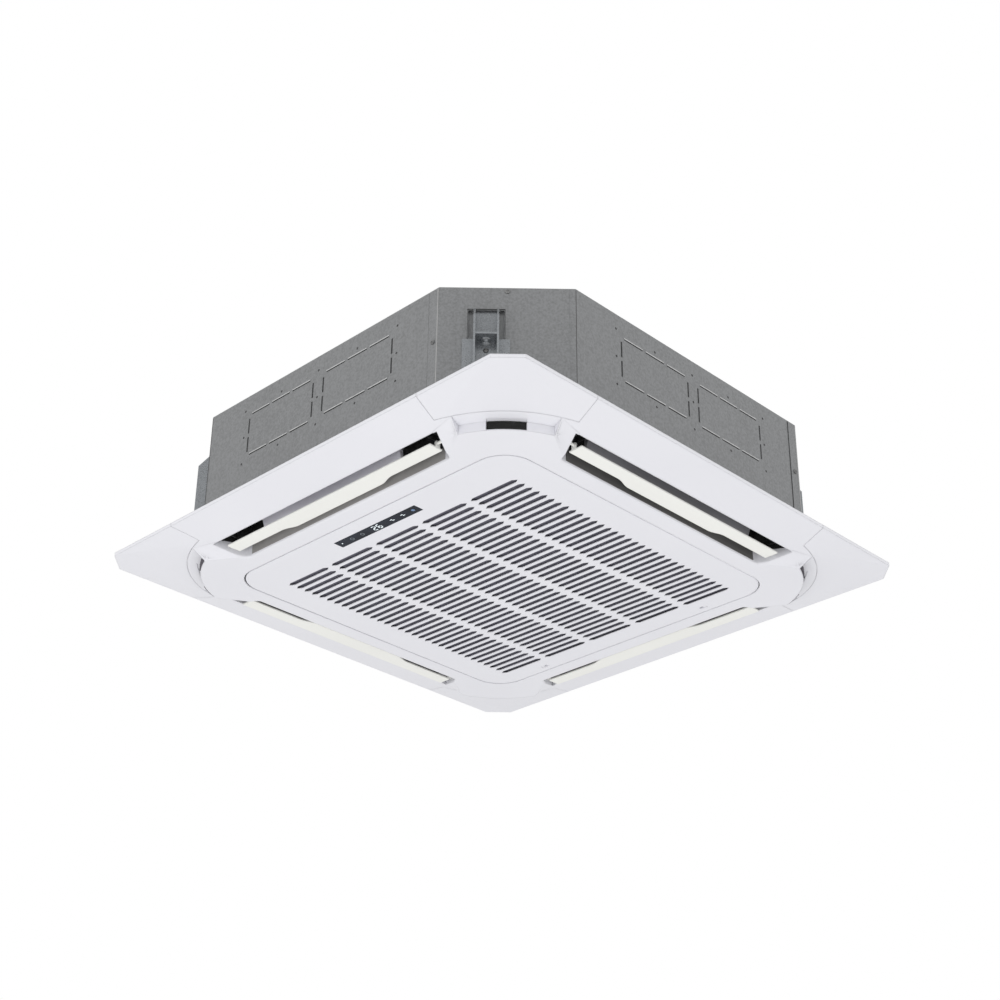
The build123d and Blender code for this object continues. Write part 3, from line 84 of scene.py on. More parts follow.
# ---- materials: a small kit of node chains, all in the object's own metres ----
class Paint:
    """One material: a Principled shader with its colour, roughness and bump from nodes."""

    def __init__(self, name, rough, metal=0.0, **shader):
        self.material = bpy.data.materials.new(name)
        self.material.use_nodes = True
        self.tree = self.material.node_tree
        self.shader = self.tree.nodes["Principled BSDF"]
        self.shader.inputs["Roughness"].default_value = rough
        self.shader.inputs["Metallic"].default_value = metal
        for socket, value in shader.items():
            self.shader.inputs[socket.replace("_", " ")].default_value = value
        self.place = self.node("TexCoord").outputs["Object"]
        self.normal = None

    def node(self, kind, **settings):
        """Adds a node; a setting that is a socket is linked, and any other is a value."""
        made = self.tree.nodes.new("ShaderNode" + kind)
        for key, value in settings.items():
            if hasattr(made, key):
                setattr(made, key, value)
                continue
            socket = made.inputs[int(key[1:]) if key[1:].isdigit() else key.replace("_", " ")]
            if isinstance(value, bpy.types.NodeSocket):
                self.tree.links.new(value, socket)
            else:
                socket.default_value = value
        return made

    def stretched(self, scale):
        """The place, scaled by axis, so that a pattern runs along one of them."""
        return self.node("Mapping", Vector=self.place, Scale=scale).outputs["Vector"]

    def noise(self, scale, detail=3.0, place=None):
        made = self.node("TexNoise", Vector=place or self.place, Scale=scale, Detail=detail)
        return made.outputs["Fac"]

    def cells(self, scale, output="Distance", feature="F1", place=None):
        made = self.node("TexVoronoi", feature=feature, Vector=place or self.place, Scale=scale)
        return made.outputs[output]

    def stripes(self, scale, axis="X", profile="SIN"):
        made = self.node(
            "TexWave", bands_direction=axis, wave_profile=profile, Vector=self.place, Scale=scale
        )
        return made.outputs["Fac"]

    def between(self, value, low, high, start=0.0, end=1.0):
        """Moves a value from the range start to end into the range low to high."""
        made = self.node("MapRange", Value=value, **{"From Min": start, "From Max": end})
        made.inputs["To Min"].default_value = low
        made.inputs["To Max"].default_value = high
        return made.outputs["Result"]

    def maths(self, operation, first, second):
        return self.node("Math", operation=operation, _0=first, _1=second).outputs["Value"]

    def colour(self, value, dark, light, start=0.0, end=1.0):
        """Colours the surface by a value, from dark to light."""
        ramp = self.node("ValToRGB", Fac=value)
        stops = ramp.color_ramp.elements
        stops[0].position, stops[1].position = start, end
        stops[0].color, stops[1].color = (*dark, 1), (*light, 1)
        self.tree.links.new(ramp.outputs["Color"], self.shader.inputs["Base Color"])
        return self

    def roughness(self, value, low, high):
        self.tree.links.new(self.between(value, low, high), self.shader.inputs["Roughness"])
        return self

    def edges(self, radius):
        """High along the sharp edges and low elsewhere."""
        round_normal = self.node("Bevel", samples=6, Radius=radius).outputs["Normal"]
        flat_normal = self.node("NewGeometry").outputs["True Normal"]
        match = self.node("VectorMath", operation="DOT_PRODUCT", _0=round_normal, _1=flat_normal)
        return self.between(match.outputs["Value"], 1.0, 0.0, 0.75, 0.99)

    def soften(self, radius):
        """Rounds the edges in the shading."""
        self.normal = self.node("Bevel", samples=4, Radius=radius).outputs["Normal"]
        return self

    def bump(self, value, depth, strength=1.0):
        """Raises the surface where the value is high, by a depth in metres."""
        made = self.node("Bump", Height=value, Distance=depth, Strength=strength)
        if self.normal:
            self.tree.links.new(self.normal, made.inputs["Normal"])
        self.normal = made.outputs["Normal"]
        self.tree.links.new(self.normal, self.shader.inputs["Normal"])
        return self


def grey(value, warmth=0.0):
    """A grey a little warmer or cooler than neutral."""
    return (value * (1 + warmth), value, value * (1 - warmth))


def galvanised(name, dark, light, rough, cells=210.0):
    """Zinc sheet: spangles, faint upright rolling streaks, large clouds and a painted highlight along its
    sharp edges.
    """
    p = Paint(name, rough, metal=0.55, Specular_IOR_Level=0.4)
    spangle = p.node("TexVoronoi", Vector=p.place, Scale=cells).outputs["Color"]
    spangle = p.node("SeparateColor", Color=spangle).outputs["Red"]
    streak = p.noise(1.0, detail=5.0, place=p.stretched((240, 240, 5)))
    cloud = p.noise(5.0, detail=5.0)
    grain = p.noise(900.0, detail=2.0)
    mottle = p.noise(1.4 * cells, detail=3.0)
    tone = p.maths("MULTIPLY", p.between(spangle, 0.9, 1.0), p.between(streak, 0.9, 1.05))
    tone = p.maths("MULTIPLY", tone, p.between(mottle, 0.8, 1.2, 0.25, 0.75))
    tone = p.maths("MULTIPLY", tone, p.between(cloud, 0.8, 1.14))
    fleck = p.between(p.cells(1.9 * cells), 0.28, 0.0, 0.0, 0.22)
    tone = p.maths("ADD", tone, p.maths("MULTIPLY", fleck, p.between(streak, 0.0, 1.0)))
    # painted highlight: lighter colour along the sharp edges, from the bevel mask
    tone = p.maths("ADD", tone, p.maths("MULTIPLY", p.edges(1.4 * mm), p.between(grain, 0.1, 0.7)))
    p.colour(tone, dark, light, 0.45, 1.0)
    p.roughness(p.maths("MULTIPLY", cloud, p.between(spangle, 0.8, 1.2)), rough - 0.12, rough + 0.16)
    p.bump(grain, 0.04 * mm, 0.35)
    return p.bump(spangle, 0.03 * mm, 0.25).material


def moulded(name, dark, light, rough, grain=1400.0, edge=0.7, **shader):
    """Moulded plastic: fine erosion texture, faint flow clouds and softened edges."""
    p = Paint(name, rough, **shader)
    p.soften(edge * mm)
    cloud = p.noise(5.0, detail=2.0)
    fine = p.noise(grain, detail=2.0)
    tone = p.maths("ADD", p.between(cloud, 0.0, 0.8), p.between(fine, 0.0, 0.2))
    p.colour(tone, dark, light, 0.2, 0.8)
    dull = p.maths("ADD", p.between(fine, 0, 0.6), p.between(cloud, 0, 0.4))
    p.roughness(dull, rough - 0.06, rough + 0.08)
    return p.bump(fine, 0.02 * mm, 0.3).material


def beaded(name, dark, light, bead=4.5):
    """Expanded foam: packed beads with darker joints between them."""
    p = Paint(name, 0.8, Specular_IOR_Level=0.2)
    beads = p.cells(1000 / bead)
    joint = p.cells(1000 / bead, feature="DISTANCE_TO_EDGE")
    tone = p.maths("MULTIPLY", p.between(joint, 0.55, 1.0, 0.0, 0.12), p.between(p.noise(25.0), 0.8, 1.15))
    p.colour(tone, dark, light, 0.3, 1.0)
    p.roughness(beads, 0.7, 0.95)
    p.bump(p.between(beads, 1.0, 0.0), 0.5 * mm, 0.6)
    return p.bump(p.noise(2500.0), 0.05 * mm, 0.4).material


def foam_sheet(name, dark, light):
    """Closed-cell foam sheet: small pores and a slightly uneven skin."""
    p = Paint(name, 0.9, Specular_IOR_Level=0.25)
    pores = p.cells(700.0)
    p.colour(p.maths("MULTIPLY", pores, p.between(p.noise(30.0), 0.6, 1.3)), dark, light, 0.1, 0.9)
    p.roughness(pores, 0.78, 0.98)
    p.bump(pores, 0.35 * mm, 0.6)
    return p.bump(p.noise(18.0), 0.8 * mm, 0.35).material


def painted(name, dark, light, rough, metal=0.0):
    """Paint with orange peel and a few dull patches."""
    p = Paint(name, rough, metal=metal)
    peel = p.noise(420.0, detail=2.0)
    cloud = p.noise(14.0, detail=5.0)
    p.colour(cloud, dark, light, 0.3, 0.75)
    p.roughness(cloud, rough - 0.08, rough + 0.14)
    return p.bump(peel, 0.06 * mm, 0.4).material


def turned(name, dark, light, rough, scale=9.0):
    """Bare metal with fine drawn lines and stains."""
    p = Paint(name, rough, metal=1.0)
    lines = p.noise(1.0, place=p.stretched((1600, 1600, 60)))
    stain = p.noise(scale * 6, detail=5.0)
    tone = p.maths("ADD", p.between(lines, 0, 0.35), p.between(stain, 0, 0.65))
    p.colour(tone, dark, light, 0.25, 0.75)
    dull = p.maths("MULTIPLY", lines, p.between(stain, 0.7, 1.4))
    p.roughness(dull, rough - 0.1, rough + 0.2)
    return p.bump(lines, 0.02 * mm, 0.4).material


def finned(name):
    """Stacked aluminium fins: a fine band at each fin, with bent patches."""
    p = Paint(name, 0.35, metal=0.9)
    bands = p.maths("MULTIPLY", p.stripes(150.0, "X"), p.stripes(150.0, "Y"))
    bent = p.noise(40.0, detail=4.0)
    p.colour(p.maths("MULTIPLY", bands, p.between(bent, 0.7, 1.25)), grey(0.16), grey(0.62), 0.05, 0.9)
    p.roughness(bent, 0.28, 0.5)
    return p.bump(bands, 0.5 * mm, 0.7).material


def circuit(name):
    """Board: green lacquer with tracks and tinned pads."""
    p = Paint(name, 0.35, Coat_Weight=0.4)
    tracks = p.maths("GREATER_THAN", p.stripes(160.0, "X"), 0.75)
    pads = p.maths("LESS_THAN", p.cells(260.0), 0.22)
    tone = p.maths("MAXIMUM", p.between(tracks, 0, 0.3), pads)
    p.colour(tone, (0.01, 0.09, 0.035), (0.45, 0.47, 0.42))
    p.roughness(p.noise(200.0), 0.28, 0.5)
    return p.bump(p.maths("ADD", tracks, pads), 0.1 * mm, 0.7).material


def netting(name):
    """Fine filter net: crossing threads over dark gaps."""
    p = Paint(name, 0.7, Specular_IOR_Level=0.2)
    threads = p.maths("MAXIMUM", p.stripes(250.0, "X"), p.stripes(250.0, "Y"))
    tone = p.maths("MULTIPLY", threads, p.between(p.noise(12.0), 0.7, 1.2))
    p.colour(tone, (0.05, 0.05, 0.065), (0.2, 0.195, 0.24), 0.3, 1.0)
    p.roughness(threads, 0.55, 0.85)
    return p.bump(threads, 0.3 * mm, 0.8).material


def glazed(name):
    """Smoked window of the display, with fine scratches."""
    p = Paint(name, 0.2, Specular_IOR_Level=0.12)
    scratch = p.noise(1.0, detail=4.0, place=p.stretched((60, 1400, 60)))
    p.colour(p.noise(40.0), (0.004, 0.006, 0.011), (0.012, 0.017, 0.03), 0.3, 0.7)
    p.roughness(scratch, 0.14, 0.3)
    return p.bump(scratch, 0.01 * mm, 0.3).material


def lit(name, colour, glow):
    """A printed or lit mark of the display; it glows in both cases, so a printed mark gets a painted glow.
    """
    p = Paint(name, 0.35, Emission_Color=(*colour, 1), Emission_Strength=glow)
    speck = p.noise(3000.0)
    p.colour(speck, tuple(0.8 * c for c in colour), colour, 0.2, 0.8)
    p.roughness(speck, 0.28, 0.5)
    return p.bump(speck, 0.01 * mm, 0.3).material


white_dark, white_light = (0.735, 0.735, 0.775), (0.765, 0.765, 0.803)
finishes = {
    "cabinet_steel": galvanised("galvanised_sheet", grey(0.125, -0.012), grey(0.255, -0.018), 0.46),
    "bracket_steel": galvanised("galvanised_bracket", grey(0.1, -0.04), grey(0.3, -0.05), 0.28, 480.0),
    "screw_steel": turned("zinc_screw", grey(0.1), grey(0.34), 0.4),
    "foam_black": foam_sheet("black_foam", grey(0.006), grey(0.03)),
    "motor_paint": painted("motor_paint", grey(0.02), grey(0.045), 0.42),
    "motor_tin": turned("motor_tin", grey(0.35), grey(0.62), 0.32),
    "rubber_black": painted("black_rubber", grey(0.008), grey(0.022), 0.75),
    "fan_plastic": moulded("fan_plastic", grey(0.045), grey(0.075), 0.5),
    "bell_plastic": moulded("bell_plastic", grey(0.03), grey(0.055), 0.55),
    "foam_white": beaded("white_foam", grey(0.42, -0.02), grey(0.74, -0.02)),
    "fin_aluminium": finned("aluminium_fins"),
    "copper": turned("copper", (0.42, 0.14, 0.07), (0.8, 0.36, 0.2), 0.32),
    "brass": turned("brass", (0.44, 0.28, 0.09), (0.75, 0.54, 0.22), 0.34),
    "pump_plastic": moulded("pump_plastic", grey(0.2, 0.04), grey(0.28, 0.04), 0.45),
    "float_plastic": moulded("float_plastic", (0.5, 0.09, 0.05), (0.62, 0.13, 0.07), 0.45),
    "drain_plastic": moulded("drain_plastic", grey(0.45, 0.03), grey(0.56, 0.03), 0.5),
    "box_steel": galvanised("box_sheet", grey(0.24), grey(0.42), 0.4),
    "board_green": circuit("circuit_board"),
    "terminal_plastic": moulded("terminal_plastic", grey(0.55, 0.06), grey(0.66, 0.06), 0.4),
    "panel_white": moulded("panel_white", white_dark, white_light, 0.42, edge=3.0),
    "grille_white": moulded("grille_white", white_dark, white_light, 0.42, edge=0.6),
    "latch_white": moulded("latch_white", (0.7, 0.7, 0.735), (0.76, 0.76, 0.795), 0.42),
    "vane_cream": moulded("vane_cream", (0.8, 0.8, 0.765), (0.84, 0.84, 0.805), 0.38, edge=1.0),
    "filter_plastic": moulded("filter_plastic", grey(0.012), grey(0.022), 0.55),
    "filter_net": netting("filter_net"),
    "display_dark": glazed("display_window"),
}
for name, node in nodes.items():
    node.data.materials.clear()
    node.data.materials.append(finishes[slot_of[name]])


# ---- small pieces ----
def bridge(mesh, first, second):
    """A band of faces between two matching rings."""
    for step in range(len(first)):
        after = (step + 1) % len(first)
        mesh.faces.new((first[step], first[after], second[after], second[step]))


def close_solid(mesh, first, second):
    """Both end faces and the sides between two matching outlines."""
    mesh.faces.new(first)
    mesh.faces.new(second)
    bridge(mesh, first, second)


def piece(name, mesh, material, body, smooth=False):
    """A new object from a bmesh, riding on a body."""
    data = bpy.data.meshes.new(name)
    mesh.to_mesh(data)
    mesh.free()
    data.materials.append(material)
    if smooth:
        data.polygons.foreach_set("use_smooth", [True] * len(data.polygons))
    made = bpy.data.objects.new(name, data)
    bpy.context.scene.collection.objects.link(made)
    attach(made, body)
    return made


def islands(node):
    """The separate solids of a node, each as the list of its vertices' places."""
    mesh = bmesh.new()
    mesh.from_mesh(nodes[node].data)
    bmesh.ops.remove_doubles(mesh, verts=mesh.verts, dist=0.01 * mm)
    left, found = set(mesh.verts), []
    while left:
        group, edge = [], [left.pop()]
        while edge:
            vertex = edge.pop()
            group.append(vertex.co.copy())
            for link in vertex.link_edges:
                other = link.other_vert(vertex)
                if other in left:
                    left.remove(other)
                    edge.append(other)
        found.append(group)
    mesh.free()
    return found


level_ways = 8
least_gain = 0.05 * mm


def upright_normal(points):
    """Outward level direction of a flat round head, from where its points lie."""
    middle = sum(points, Vector()) / len(points)
    best = None
    for step in range(level_ways):
        a = tau * step / level_ways
        way = Vector((cos(a), sin(a), 0))
        spread = [p.dot(way) for p in points]
        if best is None or max(spread) - min(spread) < best[0] - least_gain:
            best = (max(spread) - min(spread), way, min(spread), max(spread))
    way, low, high = best[1:]
    if way.dot(middle) < 0:
        way, low, high = -way, -high, -low
    return way, low, high, middle


screw_sides = 28
recess_rings = 9
recess_half = 0.62 * mm
recess_reach = 0.62
recess_depth = 1.1 * mm
recess_fall = 0.5    # share of the recess that is lost at its reach
head_fall = 0.45     # share of the head's height that its rim lies lower


def add_screw(mesh, points):
    """A pan head with a cross recess, in the space of one plain head."""
    way, low, high, middle = upright_normal(points)
    height = high - low
    radius = max(abs(p.z - middle.z) for p in points)
    foot = middle + way * (low - middle.dot(way))
    across = Vector((0, 0, 1)).cross(way)

    def spot(ring, step):
        share = ring / recess_rings
        a = tau * step / screw_sides
        u, v = share * radius * cos(a), share * radius * sin(a)
        rise = height * (1 - head_fall * share**4)
        inside = min(abs(u), abs(v)) < recess_half and share < recess_reach
        if inside:
            rise -= recess_depth * (1 - recess_fall * share / recess_reach)
        return mesh.verts.new(foot + across * u + Vector((0, 0, v)) + way * rise)

    centre = mesh.verts.new(foot + way * (height - recess_depth))
    rings = [[spot(ring, s) for s in range(screw_sides)] for ring in range(1, recess_rings + 1)]
    base = []
    for step in range(screw_sides):
        a = tau * step / screw_sides
        base.append(mesh.verts.new(foot + across * radius * cos(a) + Vector((0, 0, radius * sin(a)))))
    rings.append(base)
    for step in range(screw_sides):
        after = (step + 1) % screw_sides
        mesh.faces.new((centre, rings[0][step], rings[0][after]))
        for inner, outer in zip(rings, rings[1:]):
            mesh.faces.new((inner[step], outer[step], outer[after], inner[after]))
    mesh.faces.new(list(reversed(base)))


def add_screw_heads():
    """All cabinet screws, in place of the plain heads."""
    mesh = bmesh.new()
    for points in islands("body_screws"):
        add_screw(mesh, points)
    bmesh.ops.recalc_face_normals(mesh, faces=mesh.faces)
    heads = piece("cabinet_screw_heads", mesh, finishes["screw_steel"], "unit")
    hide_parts("body_screws")


# seven bars of a digit: centre and half size as shares of the digit's height
digit_bars = {name: (0, at, 0.22, 0.07) for name, at in (("top", 0.5), ("middle", 0), ("bottom", -0.5))}
for level, at_y in (("high", 0.25), ("low", -0.25)):
    for hand, at_x in (("left", -0.28), ("right", 0.28)):
        digit_bars[f"{level}_{hand}"] = (at_x, at_y, 0.07, 0.21)
digits = {
    "2": ("top", "high_right", "middle", "low_left", "bottom"),
    "6": ("top", "high_left", "middle", "low_left", "low_right", "bottom"),
}
display_low, display_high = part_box("display_lens")
display_middle = (display_low + display_high) / 2
mark_height = 0.15 * mm
digit_height = 11.5 * mm
digit_places = {"2": -7.5 * mm, "6": 3.5 * mm}
dot_place, dot_radius, dot_sides = -84 * mm, 1.2 * mm, 12
lamp_place, lamp_radius, lamp_sides = 81 * mm, 3.4 * mm, 6
ring_places, ring_radius, ring_width = (-60 * mm, -36 * mm), 3.6 * mm, 0.9 * mm
pair_places = (34 * mm, 58 * mm)
pair_bars = ((-1.5 * mm, 1.5 * mm), (1.0 * mm, -1.5 * mm))
pair_half_width, pair_half_height = 2.6 * mm, 0.7 * mm


def mark_place(x, y, level):
    """A place on the window as it is read from below: y runs outwards."""
    return Vector((display_middle.x + x, display_middle.y - y, display_low.z - level))


def add_plate(mesh, outline):
    """A thin raised print with this outline."""
    top = [mesh.verts.new(mark_place(x, y, 0)) for x, y in outline]
    low = [mesh.verts.new(mark_place(x, y, mark_height)) for x, y in outline]
    mesh.faces.new(low)
    bridge(mesh, top, low)


def add_bar(mesh, x, y, half_width, half_height):
    """A level or upright bar with pointed ends."""
    cut = min(half_width, half_height)
    if half_width > half_height:
        ends = ((-half_width, 0), (-half_width + cut, half_height), (half_width - cut, half_height))
    else:
        ends = ((0, -half_height), (-half_width, -half_height + cut), (-half_width, half_height - cut))
    outline = list(ends) + [(-u, -v) for u, v in ends]
    add_plate(mesh, [(x + u, y + v) for u, v in outline])


def add_ring(mesh, x, y, radius, width, sides=24):
    """A flat ring, or a dot where its width is its radius."""
    for step in range(sides):
        a, b = tau * step / sides, tau * (step + 1) / sides
        inner = radius - width
        quad = [(radius * cos(a), radius * sin(a)), (radius * cos(b), radius * sin(b))]
        quad += [(inner * cos(b), inner * sin(b)), (inner * cos(a), inner * sin(a))]
        if inner <= 0:
            quad = quad[:3]
        add_plate(mesh, [(x + u, y + v) for u, v in quad])


def add_display_marks():
    """The lit digits and plain symbols on the display's window."""
    white = lit("mark_white", (0.75, 0.82, 0.85), 0.6)
    # the plain rings glow faintly too: a painted glow, as they are only printed
    dim_glow = lit("mark_dim", (0.22, 0.25, 0.28), 0.08)
    blue = lit("mark_blue", (0.12, 0.2, 0.34), 0.12)
    mesh = bmesh.new()
    for digit, at in digit_places.items():
        for bar in digits[digit]:
            x, y, wide, high = (digit_height * share for share in digit_bars[bar])
            add_bar(mesh, at + x, y, wide, high)
    add_ring(mesh, dot_place, 0, dot_radius, dot_radius, dot_sides)
    for at in pair_places:
        for x, y in pair_bars:
            add_bar(mesh, at + x, y, pair_half_width, pair_half_height)
    piece("display_digits", mesh, white, "grille")
    mesh = bmesh.new()
    for at in ring_places:
        add_ring(mesh, at, 0, ring_radius, ring_width)
    piece("display_rings", mesh, dim_glow, "grille")
    mesh = bmesh.new()
    add_ring(mesh, lamp_place, 0, lamp_radius, lamp_radius, lamp_sides)
    piece("display_lamp", mesh, blue, "grille")


# ---- linings and foams of the outlets ----
ceiling_line = -119.5 * mm
outlet_wall = 352.0 * mm
outlet_outer = 405.0 * mm
lining_half = 226.0 * mm
lining_sheet, lining_gap, lining_round = 0.6 * mm, 0.2 * mm, 0.2 * mm
lining_low, lining_high = -31.5 * mm, 38.0 * mm
vane_top = -12.0 * mm
end_foam_reach = 236.0 * mm
end_foams = {
    "front": ((-end_foam_reach, -191 * mm), (136 * mm, end_foam_reach)),
    "right": ((-end_foam_reach, -188 * mm), (208 * mm, end_foam_reach)),
    "back": ((-end_foam_reach, -165 * mm), (165 * mm, end_foam_reach)),
    "left": ((-end_foam_reach, -165 * mm), (165 * mm, end_foam_reach)),
}
side_turn = {"front": 0, "right": 90, "back": 180, "left": 270}
# painted light and shade of the moulded wall and of the duct foam above it, one pair of tones per side: the
# same parts, painted lighter where lit on the front and darker where shaded on the other sides, as the photo
# shows them
lining_light_and_shade = {"front": (0.25, 0.95), "right": (0.09, 0.4), "back": (0.02, 0.2), "left": (0.02, 0.2)}
duct_half = 230.0 * mm
foam_sheet_thick, foam_gap, foam_round = 2.2 * mm, 1.6 * mm, 0.4 * mm
duct_lean = 20.0 * mm
ledge_under, ledge_over = -3.0 * mm, -0.6 * mm
ledge_outline = [
    (229.0 * mm, 353.0 * mm),
    (233.0 * mm, 353.0 * mm),
    (257.5 * mm, 402.5 * mm),
    (254.0 * mm, 404.0 * mm),
    (229.0 * mm, 404.0 * mm),
]
cheek_outline = [
    (236.5 * mm, 358.0 * mm),
    (238.0 * mm, 357.6 * mm),
    (257.6 * mm, 397.5 * mm),
    (256.1 * mm, 398.0 * mm),
]
lobe_center = 237.0 * mm
window_outer, window_inner = 165.2 * mm, 163.0 * mm
window_half_angle = 12.0
window_low, window_high = -32.8 * mm, -17.5 * mm
scoop_turns = (90, 270)
scoop_outer, scoop_inner = 170.2 * mm, 168.1 * mm
scoop_start, scoop_reach = 10.5, 23.4
scoop_low, scoop_high = -34.5 * mm, -22.5 * mm


def add_box(mesh, low, high, turn=0.0, soft=0.0):
    """A box between two corners, turned about the vertical axis."""
    made = bmesh.ops.create_cube(mesh, size=1)["verts"]
    middle, size = (Vector(low) + Vector(high)) / 2, Vector(high) - Vector(low)
    bmesh.ops.scale(mesh, vec=size, verts=made)
    bmesh.ops.translate(mesh, vec=middle, verts=made)
    bmesh.ops.rotate(mesh, verts=made, cent=(0, 0, 0), matrix=Matrix.Rotation(turn, 3, "Z"))
    if soft:
        edges = list({e for v in made for e in v.link_edges})
        bmesh.ops.bevel(mesh, geom=edges, offset=soft, segments=2, affect="EDGES", profile=0.5)


def add_prism(mesh, outline, low, high, turn=0.0):
    """An upright prism on a plan outline, turned about the vertical axis."""
    spin = Matrix.Rotation(turn, 3, "Z")
    rows = [[mesh.verts.new(spin @ Vector((x, y, z))) for x, y in outline] for z in (low, high)]
    close_solid(mesh, *rows)


def add_wedge(mesh, start, stop, foot, head, low, high, turn):
    """A long wedge against an outlet's inner wall, thicker at its top."""
    spin = Matrix.Rotation(turn, 3, "Z")
    section = [(foot[0], low), (foot[1], low), (head, high), (foot[0], high)]
    rows = [[mesh.verts.new(spin @ Vector((x, y, z))) for y, z in section] for x in (start, stop)]
    close_solid(mesh, *rows)


def add_end_foams(mesh, side, turn):
    """Black foam in both ends of one outlet."""
    low, high = ceiling_line + vane_top, ceiling_line + lining_high
    ledge_low, ledge_high = ceiling_line + ledge_under, ceiling_line + ledge_over
    near = -outlet_wall - lining_gap - 2 * lining_sheet
    far = -outlet_outer + foam_gap
    for start, stop in end_foams[side]:
        add_box(mesh, (start, near - foam_sheet_thick, low), (stop, near, high), turn, foam_round)
    for way in (-1, 1):
        ends = sorted((way * (duct_half - foam_sheet_thick), way * duct_half))
        add_box(mesh, (ends[0], far + foam_sheet_thick, low), (ends[1], near - foam_sheet_thick, high), turn)
        ledge = [(way * x, -y) for x, y in ledge_outline]
        add_prism(mesh, ledge, ledge_low, ledge_high, turn)
        cheek = [(way * x, -y) for x, y in cheek_outline]
        add_prism(mesh, cheek, low, ledge_low, turn)


def add_outlet_linings():
    """Moulded lining on each outlet's inner wall, duct foam above it, black foam in its ends."""
    for side, turn in side_turn.items():
        # each side's lining gets its own tones: painted light on the front, painted shade on the right, back
        # and left
        wall_light_and_shade, duct_light_and_shade = lining_light_and_shade[side]
        dark, light = grey(wall_light_and_shade, 0.03), grey(1.5 * wall_light_and_shade, 0.03)
        wall = moulded(f"outlet_lining_{side}", dark, light, 0.5, 350.0)
        pale = moulded(
            f"duct_lining_{side}",
            (0.88 * duct_light_and_shade, 0.87 * duct_light_and_shade, 0.95 * duct_light_and_shade),
            (duct_light_and_shade, 0.99 * duct_light_and_shade, 1.05 * duct_light_and_shade),
            0.5,
            300.0,
        )
        a = radians(turn)
        near = -outlet_wall - lining_gap
        low_edge, step = ceiling_line + lining_low, ceiling_line + vane_top
        mesh = bmesh.new()
        low, high = (-lining_half, near - lining_sheet, low_edge), (lining_half, near, step)
        add_box(mesh, low, high, a, lining_round)
        piece(f"outlet_lining_{side}", mesh, wall, "unit")
        mesh = bmesh.new()
        top = ceiling_line + lining_high
        start, stop = end_foams[side][0][1], end_foams[side][1][0]
        foot = (near, near - lining_sheet)
        add_wedge(mesh, start, stop, foot, near - duct_lean, step, top, a)
        far = -outlet_outer + foam_gap
        add_box(mesh, (-duct_half, far, step), (duct_half, far + foam_sheet_thick, top), a, foam_round)
        bmesh.ops.recalc_face_normals(mesh, faces=mesh.faces)
        piece(f"duct_lining_{side}", mesh, pale, "unit")
        mesh = bmesh.new()
        add_end_foams(mesh, side, a)
        bmesh.ops.recalc_face_normals(mesh, faces=mesh.faces)
        piece(f"outlet_end_foam_{side}", mesh, finishes["foam_black"], "unit")


def arc_strip(outer, inner, start, stop, steps=12):
    """Plan outline between two arcs round a corner's rounding; angles from its diagonal."""
    arc = [radians(-45 + start + (stop - start) * step / steps) for step in range(steps + 1)]
    outline = [(lobe_center + outer * cos(b), -lobe_center + outer * sin(b)) for b in arc]
    return outline + [(lobe_center + inner * cos(b), -lobe_center + inner * sin(b)) for b in reversed(arc)]


def add_window_foams():
    """Black foam behind the window of each corner outlet."""
    mesh = bmesh.new()
    outline = arc_strip(window_outer, window_inner, -window_half_angle, window_half_angle)
    for turn in side_turn.values():
        low, high = ceiling_line + window_low, ceiling_line + window_high
        add_prism(mesh, outline, low, high, radians(turn))
    bmesh.ops.recalc_face_normals(mesh, faces=mesh.faces)
    piece("corner_outlet_foam", mesh, finishes["foam_black"], "unit")


def add_scoop_shade_strips():
    """Dark strips of painted shade beside the windows of two corner outlets, where their scoops lie in
    shadow.
    """
    scoop_shade = moulded("scoop_shade_strip", (0.045, 0.04, 0.05), (0.1, 0.09, 0.11), 0.7, 500.0)
    mesh = bmesh.new()
    for turn in scoop_turns:
        for start, stop in ((-scoop_reach, -scoop_start), (scoop_start, scoop_reach)):
            outline = arc_strip(scoop_outer, scoop_inner, start, stop)
            add_prism(mesh, outline, ceiling_line + scoop_low, ceiling_line + scoop_high, radians(turn))
    bmesh.ops.recalc_face_normals(mesh, faces=mesh.faces)
    piece("corner_outlet_shade_strips", mesh, scoop_shade, "unit")


# ---- the brackets' pockets and the grille's edge ----
pocket_half = 28.0 * mm
pocket_low, pocket_high = 127.0 * mm, 179.0 * mm
pocket_depth = 7.6 * mm
pocket_sheet = 0.8 * mm
corner_plane = 492.36 * mm
bracket_shift = 31.11 * mm
edge_inner, edge_outer = 318.05 * mm, 319.35 * mm
edge_low, edge_high = -35.3 * mm, -33.1 * mm
edge_corner = 53.35 * mm
edge_slim = 318.5 * mm
edge_hinge_side = -250.0 * mm


def add_pocket_backs():
    """The pressed recess behind each hanging bracket."""
    mesh = bmesh.new()
    for step in range(4):
        turn = radians(90 * step + 45)
        shift = bracket_shift if step % 2 else -bracket_shift
        low, high = ceiling_line + pocket_low, ceiling_line + pocket_high
        deep = -corner_plane + pocket_depth
        left, right = shift - pocket_half, shift + pocket_half
        add_box(mesh, (left, deep - pocket_sheet, low), (right, deep, high), turn)
        front = deep - pocket_depth + pocket_sheet
        for x in (left, right - pocket_sheet):
            add_box(mesh, (x, front, low), (x + pocket_sheet, deep, high), turn)
        for z in (low, high - pocket_sheet):
            add_box(mesh, (left, front, z), (right, deep, z + pocket_sheet), turn)
    piece("bracket_pockets", mesh, finishes["cabinet_steel"], "unit")


def round_square(half, corner, steps=8):
    """Points round a square with round corners."""
    points = []
    for quarter in range(4):
        a = radians(90 * quarter)
        x, y = (half - corner) * (cos(a) - sin(a)), (half - corner) * (sin(a) + cos(a))
        for step in range(steps + 1):
            b = a + radians(90 * step / steps)
            points.append((x + corner * cos(b), y + corner * sin(b)))
    return points


